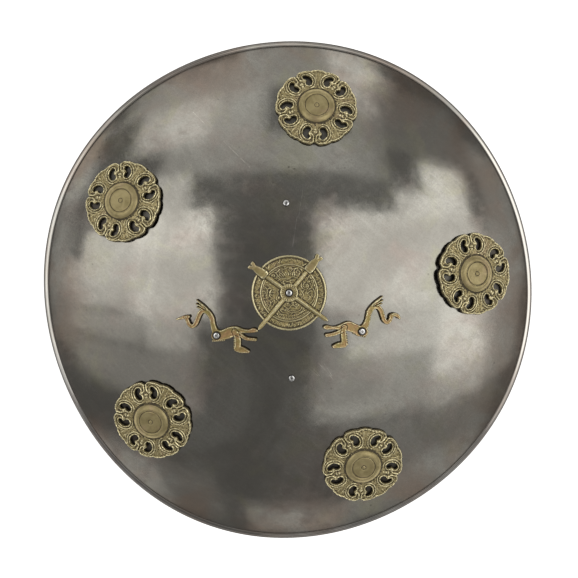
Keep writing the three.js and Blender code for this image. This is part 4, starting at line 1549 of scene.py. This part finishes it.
RIGHT_BEAST = BeastDrawing(
    neck=((2.5, -0.5, 4.2), (-2.4, 4.2, 3), (-4.6, 10, 2.5), (-5.2, 15, 2.4), (-7.8, 20.8, 2.5),
          (-12, 22.6, 2.2), (-15.6, 19.8, 2.2), (-17.8, 14.8, 2.1), (-19.4, 10.8, 2), (-22, 8.8, 1.9),
          (-24.7, 10.6, 1.8), (-26.2, 15.2, 1.7)),
    head=((-25.2, 14.4, 1.6), (-28.2, 15.9, 1.7), (-31.4, 15, 1.7), (-33.2, 13, 1.1)),
    body=((-2.2, -0.6, 3.9), (6.8, 2.3, 4.2), (12.4, 4, 4.4), (19.5, 2.8, 2.4), (25.6, 2, 1.4),
          (31.2, 2.2, 2.1), (33.4, 2.2, 1.5)),
    raised_leg=((15.5, 1.5, 2.4), (19.2, -0.8, 2), (25.2, -3.6, 1.8), (31.4, -4.9, 1.6)),
    standing_leg=((15.9, 3, 2.6), (16.4, -3, 2.5), (15, -11.6, 2.6)),
    paw=((15.2, -12.6, 2.6), (19.8, -13.3, 2.6), (24.2, -14.6, 1.6)),
)


@dataclass(frozen=True, kw_only=True)
class Beast(RivetedCasting):
    """One long-necked beast, cast flat with its rivet hole at the origin."""

    node: str
    side: Side
    drawing: BeastDrawing
    ends: tuple[float, float]
    across: float
    below: float
    turn: float
    thickness: float = 3.4
    edge_radius: float = 0.95
    step: float = 0.24

    def seat(self) -> Matrix:
        """The beast's frame."""
        return self.dome.seat_at(self.side.value * self.across, -self.below, self.turn)

    def _beads(self) -> list[tuple[float, float, float]]:
        """Place and radius of the small beads along the belly and down the back of the standing leg."""
        (_, chest, deep), (end, belly, low) = self.drawing.body[:2]
        (knee, high, _), (shin, foot, half) = self.drawing.standing_leg[-2:]
        made = []
        for share in np.linspace(0, 1, 7):
            hang = chest - deep + share * (belly - low - chest + deep) - 0.5 + 0.9 * (share - 0.45) ** 2
            made.append((-3.4 + share * (end + 3.6), hang, 0.85))
        for share in np.linspace(0, 1, 5):
            made.append((knee + (shin - knee) * share - half - 0.1, high + (foot - high) * share - 0.3, 0.95))
        return made

    def outline(self, x: Array, y: Array) -> Array:
        """Distance from the beast's outline, negative on it."""
        u, d = -self.side.value * x, self.drawing
        limbs = [d.neck, d.head, *d.crest, d.body, d.raised_leg, d.standing_leg, d.paw]
        body = union([ribbon_distance(u, y, limb) for limb in limbs], 0.7)
        beads = [np.hypot(u - px, y - py) - radius for px, py, radius in self._beads()]
        return np.maximum(np.minimum.reduce([body, *beads]), self.hole - np.hypot(x, y))

    def face(self, x: Array, y: Array) -> Array:
        """Height of the face: a raised edge line, a slightly hollow flank, creases where limbs meet."""
        u, d = -self.side.value * x, self.drawing
        edge = -self.outline(x, y)
        z = self.gap + self.thickness + 0.12 * bead(edge - 0.7, 0.5) - 0.1 * smooth(0.9, 2.2, edge)
        z = z + grain(x, y, 1.3, 51) * 0.07 + grain(x, y, 4.0, 52) * 0.08
        z = z - 0.55 * bead(ribbon_distance(u, y, d.standing_leg), 0.55) * (y > -2.5) * (u > 12)
        z = z - 0.45 * bead(ribbon_distance(u, y, d.raised_leg), 0.5) * (u > 16) * (u < 24)
        for fin in d.crest:
            z = z - 0.6 * bead(ribbon_distance(u, y, fin), 0.45) * (y > 22.5) * (u < -8.5)
        eye = np.hypot(u + 27.0, y - 16.6)
        z = z + 0.25 * bead(eye - 0.8, 0.4) - 0.2 * bead(eye, 0.5)
        return z - np.where(np.hypot(x, y) > 2.9, rounding(edge, self.edge_radius), 0)

    def build(self, finish: CastBrass, effects: Effects) -> None:
        """Makes and dresses the beast."""
        casting = Casting(self.outline, self.face, self.back, (*self.ends, -18.5, 33.5), self.step, self.mask,
                          edge_wear=0.13, edge_width=0.42)
        dress(casting.surface().piece(f"cast_{self.node}", self.seat(), sharp=50.0), self.node, Slot.BEAST,
              finish.material(effects))


@dataclass(frozen=True)
class StrapGrip:
    """The strap grip inside the dome, bent from one flat bar."""

    dome: DomeShape
    span: float = 155.0
    shift: float = 1.5
    turn: float = 1.8
    width: float = 22.0
    thickness: float = 3.0
    foot: float = 11.0
    finger_gap: float = 35.0
    bar_half: float = 44.0
    bend_half: float = 3.0
    foot_depth: float = 2.62
    corner_radius: float = 0.8

    def rivet_seats(self) -> list[Matrix]:
        """Frames of its upper and its lower rivet."""
        (dx, dy), = polar(self.span / 2, math.radians(90 + self.turn))
        return [self.dome.seat_at(end * dx, end * dy + self.shift, self.turn) for end in (1, -1)]

    def _path(self) -> Array:
        """The bar's middle line in the side view, from one foot to the other."""
        dome, half = self.dome, self.thickness / 2
        reach, depth = self.span / 2, self.foot_depth + half
        slope = dome.slope(reach)
        middle = np.array([reach - depth * math.sin(slope), dome.height(reach) - depth * math.cos(slope)])
        tangent = np.array([math.cos(slope), -math.sin(slope)]) * self.foot
        bar = float(dome.height(0, dome.plate_thickness)) - self.finger_gap - half
        heel = middle - tangent
        right = [(0.0, bar), (0.5 * self.bar_half, bar), (self.bar_half - self.bend_half, bar),
                 (self.bar_half + self.bend_half, bar + 3.5),
                 (0.55 * heel[0] + 0.45 * self.bar_half, 0.5 * (heel[1] + bar)),
                 heel, middle, middle + tangent]
        return smooth_path([(-along, height) for along, height in right[:0:-1]] + right, 6)

    def _section(self, wide: float) -> Array:
        """Points of one rounded cross section of the bar with a half width, across and up."""
        half, soft = self.thickness / 2, min(self.corner_radius, wide * 0.5)
        corners = [(wide, half - soft), (wide - 0.3 * soft, half - 0.3 * soft), (wide - soft, half)]
        ring = corners + [(0.0, half)] + [(-x, z) for x, z in corners[::-1]]
        return np.array(ring + [(x, -z) for x, z in ring[::-1]])

    def surface(self) -> Surface:
        """Sweeps the bar's section along its bent side view, with a rounded end on each foot.

        Returns:
            The closed surface.
        """
        path = self._path()
        rings = []
        for k, (along, height) in enumerate(path):
            before, after = path[max(k - 1, 0)], path[min(k + 1, len(path) - 1)]
            dx, dz = (after - before) / np.linalg.norm(after - before)
            short = max(0.0, self.width / 2 - (path[-1, 0] - abs(along)))
            x, z = self._section(math.sqrt(max((self.width / 2) ** 2 - short**2, 1.0))).T
            rings.append(np.column_stack([x, along - z * dz, height + z * dx]))
        around = len(rings[0])
        points = np.vstack(rings)
        faces = [(a, d, c, b) for a, b, c, d in ring_faces(len(rings), around)]
        faces += [tuple(range(around)), tuple(range(len(points) - 1, len(points) - around - 1, -1))]
        return Surface(points, faces, np.zeros(len(points)))

    def build(self, finish: GripSteel, effects: Effects) -> None:
        """Makes and dresses the grip."""
        turned_in = Matrix.Translation((0, self.shift, 0)) @ Matrix.Rotation(math.radians(self.turn), 4, "Z")
        piece = self.surface().piece("strap_bent", self.dome.axis() @ turned_in, sharp=45.0)
        dress(piece, "grip", Slot.GRIP, finish.material(effects))


@dataclass(frozen=True)
class BlindRivet:
    """A set blind rivet: domed head with its mandrel hole, shank and spread tail."""

    head_radius: float = 3.1
    head_height: float = 1.2
    dimple: float = 0.9
    dimple_depth: float = 0.7
    shank_radius: float = 1.6
    tail_radius: float = 2.5
    tail_height: float = 2.6
    gap: float = 0.3
    sides: int = 40

    def surface(self, face: float, under: float) -> Surface:
        """Builds the rivet.

        Args:
            face: Height of the face that its head sits on.
            under: Height of the face that its tail spreads against.

        Returns:
            The closed surface.
        """
        seat, tail = face + self.gap, under - self.gap
        r, h, d = self.head_radius, self.head_height, self.dimple
        end, deep = self.tail_radius, self.tail_height
        floor = seat + h - self.dimple_depth
        profile = [(0.35 * end, tail - deep, 0), (0.72 * end, tail - 0.92 * deep, 0),
                   (0.95 * end, tail - 0.55 * deep, 0), (end, tail - 0.15, 0), (0.97 * end, tail, 0),
                   (self.shank_radius, tail, 0), (self.shank_radius, seat, 0)]
        # The third values mark the head's foot and the mandrel hole dark as painted shade.
        head = [(0.97, 0.0, -1), (1.0, 0.1, -1), (0.985, 0.25, -1), (0.9, 0.62, -0.9), (0.76, 0.84, -0.25),
                (0.58, 0.96, 0)]
        profile += [(share * r, seat + up * h, mark) for share, up, mark in head]
        profile += [(d + 0.35, seat + h, 0), (d + 0.08, seat + 0.97 * h, -0.1), (d, seat + 0.86 * h, -0.6),
                    (d - 0.05, floor, -1), (0.45, floor, -1), (0.35, floor + 0.2, -0.3)]
        return turned(profile, (tail - deep, floor + 0.25), self.sides)


@dataclass(frozen=True)
class Rivets:
    """The five rivets of the shield."""

    dome: DomeShape
    rivet: BlindRivet = BlindRivet()
    under_plate: float = -2.02
    under_grip: float = -5.62

    def build(self, badge: Badge, beasts: Sequence[Beast], grip: StrapGrip, finish: RivetSteel,
              effects: Effects) -> None:
        """Sets the rivets.

        Args:
            badge: The badge that the middle rivet holds.
            beasts: The beasts.
            grip: The grip.
            finish: Their finish.
            effects: The shared effects.
        """
        hub_top = badge.gap + badge.thickness + 0.9
        places = [("rivet_badge", self.dome.seat(0.0, 0.0, badge.turn), hub_top, self.under_plate)]
        for beast in beasts:
            top = beast.gap + 1.1 * beast.thickness
            places.append((f"rivet_{beast.node}", beast.seat(), top, self.under_plate))
        for node, seat in zip(("rivet_grip_top", "rivet_grip_bottom"), grip.rivet_seats()):
            places.append((node, seat, 0.0, self.under_grip))
        material = finish.material(effects)
        for node, seat, face, under in places:
            piece = self.rivet.surface(face, under).piece(f"set_{node}", seat, sharp=55.0)
            dress(piece, node, Slot.RIVET, material)


# The studio


@dataclass(frozen=True)
class Softbox:
    """One soft light: the patch that it fills on the lights' level, in metres, and how bright its face is."""

    name: str
    left: float
    right: float
    bottom: float
    top: float
    radiance: float
    height: float = 1.6
    colour: tuple[float, float, float] = (1.0, 0.99, 0.96)

    def hang(self) -> None:
        """Hangs the light, level, face down."""
        wide, deep = self.right - self.left, self.top - self.bottom
        data = bpy.data.lights.new(self.name, "AREA")
        data.shape, data.size, data.size_y = "RECTANGLE", wide, deep
        data.energy = math.pi * self.radiance * wide * deep
        data.color = self.colour
        light = bpy.data.objects.new(self.name, data)
        light.location = ((self.left + self.right) / 2, (self.bottom + self.top) / 2, self.height)
        bpy.context.scene.collection.objects.link(light)


@dataclass(frozen=True)
class Studio:
    """Floor, camera and soft lights."""

    target: tuple[float, float, float] = (0.8, 1.5, 0.0)
    distance: float = 2000.0
    tilt: float = 2.2
    pan: float = 0.7
    lens: float = 136.6
    ambient: float = 0.22
    air: Colour = (0.98, 0.97, 0.95, 1.0)
    floor_half: float = 3.0
    floor_drop: float = 0.0002
    boxes: tuple[Softbox, ...] = (
        Softbox("right", 0.26, 1.5, -0.2, 0.62, 1.34),
        Softbox("right middle", 0.48, 1.5, -0.62, -0.2, 0.98),
        Softbox("right nook", 0.25, 0.48, -0.62, -0.2, 0.35),
        Softbox("right lower", 0.25, 1.5, -1.3, -0.62, 0.49),
        Softbox("right upper", 1.0, 2.15, 0.62, 0.88, 1.4),
        Softbox("right crown", 1.4, 2.15, 0.88, 1.32, 1.45),
        Softbox("right outer", 1.5, 2.3, -0.62, 0.62, 1.38),
        Softbox("right outer low", 1.5, 2.5, -1.0, -0.62, 1.35),
        Softbox("right outer foot", 1.5, 2.65, -1.4, -1.0, 0.7),
        Softbox("far right", 2.3, 3.7, -1.3, 0.6, 0.36),
        Softbox("far right upper", 2.5, 3.7, 0.6, 2.0, 0.4),
        Softbox("right low", 0.6, 3.2, -2.4, -1.4, 0.14),
        Softbox("right foot", 0.9, 3.2, -4.2, -2.4, 0.33),
        Softbox("foot", -0.6, 0.9, -4.6, -3.15, 0.42),
        Softbox("left foot", -3.6, -1.9, -4.0, -2.45, 0.52),
        Softbox("left foot inner", -1.9, -0.9, -4.2, -2.3, 0.13),
        Softbox("left", -1.5, -0.56, -0.3, 0.3, 1.25),
        Softbox("left bright", -1.5, -0.62, 0.3, 0.64, 1.62),
        Softbox("left crown", -1.5, -0.88, 0.64, 1.02, 1.15),
        Softbox("left high", -3.7, -2.7, 1.2, 2.5, 0.62),
        Softbox("left outer", -2.45, -1.5, -0.25, 0.62, 1.12),
        Softbox("left far", -2.9, -2.45, -0.25, 0.25, 0.85),
        Softbox("left edge", -3.7, -2.9, -0.9, 1.2, 0.36),
        Softbox("left middle", -2.9, -1.4, -0.6, -0.3, 0.65),
        Softbox("left nook", -1.35, -0.78, -0.62, -0.3, 0.82),
        Softbox("left lower", -2.9, -0.8, -1.25, -0.66, 0.38),
        Softbox("upper left", -1.85, -0.75, 1.45, 2.2, 1.05),
        Softbox("upper left high", -2.4, -0.75, 2.2, 3.2, 0.62),
        Softbox("upper left inner", -0.75, -0.2, 1.35, 2.3, 0.6),
        Softbox("upper middle", -1.3, 0.6, 1.0, 1.45, 0.46),
        Softbox("top", -0.75, 0.6, 2.3, 3.9, 0.5),
        Softbox("top right", 0.6, 1.4, 2.5, 3.9, 1.15),
        Softbox("top right low", 0.6, 1.05, 1.8, 2.5, 0.8),
        Softbox("upper right", 1.0, 2.5, 1.4, 2.6, 0.16),
        Softbox("upper right inner", 0.6, 1.0, 0.95, 1.8, 0.32),
    )

    def camera(self) -> None:
        """Sets the camera over the shield, nearly straight above it."""
        data = bpy.data.cameras.new("camera")
        data.lens, data.sensor_width = self.lens, 36.0
        data.clip_start, data.clip_end = 0.05, 50.0
        camera = bpy.data.objects.new("camera", data)
        bpy.context.scene.collection.objects.link(camera)
        side, down = -math.sin(math.radians(self.pan)), math.sin(math.radians(self.tilt))
        away = Vector((side, down, math.sqrt(1 - side**2 - down**2)))
        right = Vector((0, 1, 0)).cross(away).normalized()
        turned_up = Matrix((right, away.cross(right), away)).transposed().to_4x4()
        place = (Vector(self.target) + away * self.distance) * MILLIMETRE
        camera.matrix_world = Matrix.Translation(place) @ turned_up
        bpy.context.scene.camera = camera
        bpy.context.scene.view_settings.view_transform = "Standard"

    def floor(self, effects: Effects) -> None:
        """Lays the pale floor just under the rim."""
        corners = [(x * self.floor_half, y * self.floor_half, -self.floor_drop)
                   for x, y in ((-1, -1), (1, -1), (1, 1), (-1, 1))]
        mesh = bpy.data.meshes.new("floor")
        mesh.from_pydata(corners, [], [(0, 1, 2, 3)])
        floor = bpy.data.objects.new("floor", mesh)
        bpy.context.scene.collection.objects.link(floor)
        floor.data.materials.append(FloorPaper("floor paper").material(effects))

    def build(self, effects: Effects) -> None:
        """Sets floor, lights, world and camera."""
        self.floor(effects)
        for box in self.boxes:
            box.hang()
        world = bpy.data.worlds.new("room")
        world.use_nodes = True
        bpy.context.scene.world = world
        background = world.node_tree.nodes["Background"]
        background.inputs["Color"].default_value = self.air
        background.inputs["Strength"].default_value = self.ambient
        self.camera()
        log.info("studio: %d soft lights", len(self.boxes))


# Scratches of the plate from above: both ends, across and up from the middle
SCRATCHES = (
    ((12.6, 93.5), (8.6, 68.0)), ((7.2, 68.5), (3.2, 41.5)), ((-58.3, 135.2), (-34.5, 111.4)),
    ((-85.5, 161.1), (-74.8, 150.5)), ((26.0, -61.5), (31.5, -67.5)), ((29.5, -64.0), (40.0, -77.5)),
    ((31.5, -62.5), (38.0, -73.0)), ((17.5, -66.0), (26.0, -73.5)), ((21.5, -66.5), (27.0, -73.0)))


def main() -> None:
    """Builds the shield piece by piece and sets the studio."""
    logging.basicConfig(level=logging.INFO, format="%(name)s: %(message)s")
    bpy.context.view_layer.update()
    effects = Effects()
    dome = DomeShape()
    ring, badge, grip = RosetteRing(dome), Badge(dome), StrapGrip(dome)
    beasts = [
        Beast(dome, node="beast_left", side=Side.LEFT, drawing=LEFT_BEAST, ends=(-37.0, 38.0), across=63.4,
              below=37.5, turn=1.5),
        Beast(dome, node="beast_right", side=Side.RIGHT, drawing=RIGHT_BEAST, ends=(-36.0, 36.5), across=63.9,
              below=34.0, turn=-3.0),
    ]
    shaded_seats = [*ring.painted_shade(), (dome.seat(0.0, 0.0).translation * MILLIMETRE, (badge.radius - 0.4) * MILLIMETRE)]
    scratches = [tuple(Vector((*end, 0.0)) * MILLIMETRE for end in scratch) for scratch in SCRATCHES]
    ShieldPlate(dome).build(PlateSteel("plate steel", tuple(shaded_seats), tuple(scratches)), effects)
    ring.build(CastBrass("rosette brass"), effects)
    yellow = CastBrass("badge brass", ground=(0.45, 0.36, 0.165, 1.0), stain=(0.33, 0.27, 0.115, 1.0),
                       rub=0.26, grime_and_shade_level=0.06)
    badge.build(yellow, effects)
    red = CastBrass("beast brass", ground=(0.45, 0.285, 0.135, 1.0), stain=(0.36, 0.30, 0.105, 1.0),
                    flush=(0.52, 0.27, 0.18, 1.0), flush_share=0.6, rub=0.22)
    for beast in beasts:
        beast.build(red, effects)
    Rivets(dome).build(badge, beasts, grip, RivetSteel("rivet steel"), effects)
    grip.build(GripSteel("grip steel"), effects)
    Studio().build(effects)


if __name__ == "__main__":
    main()
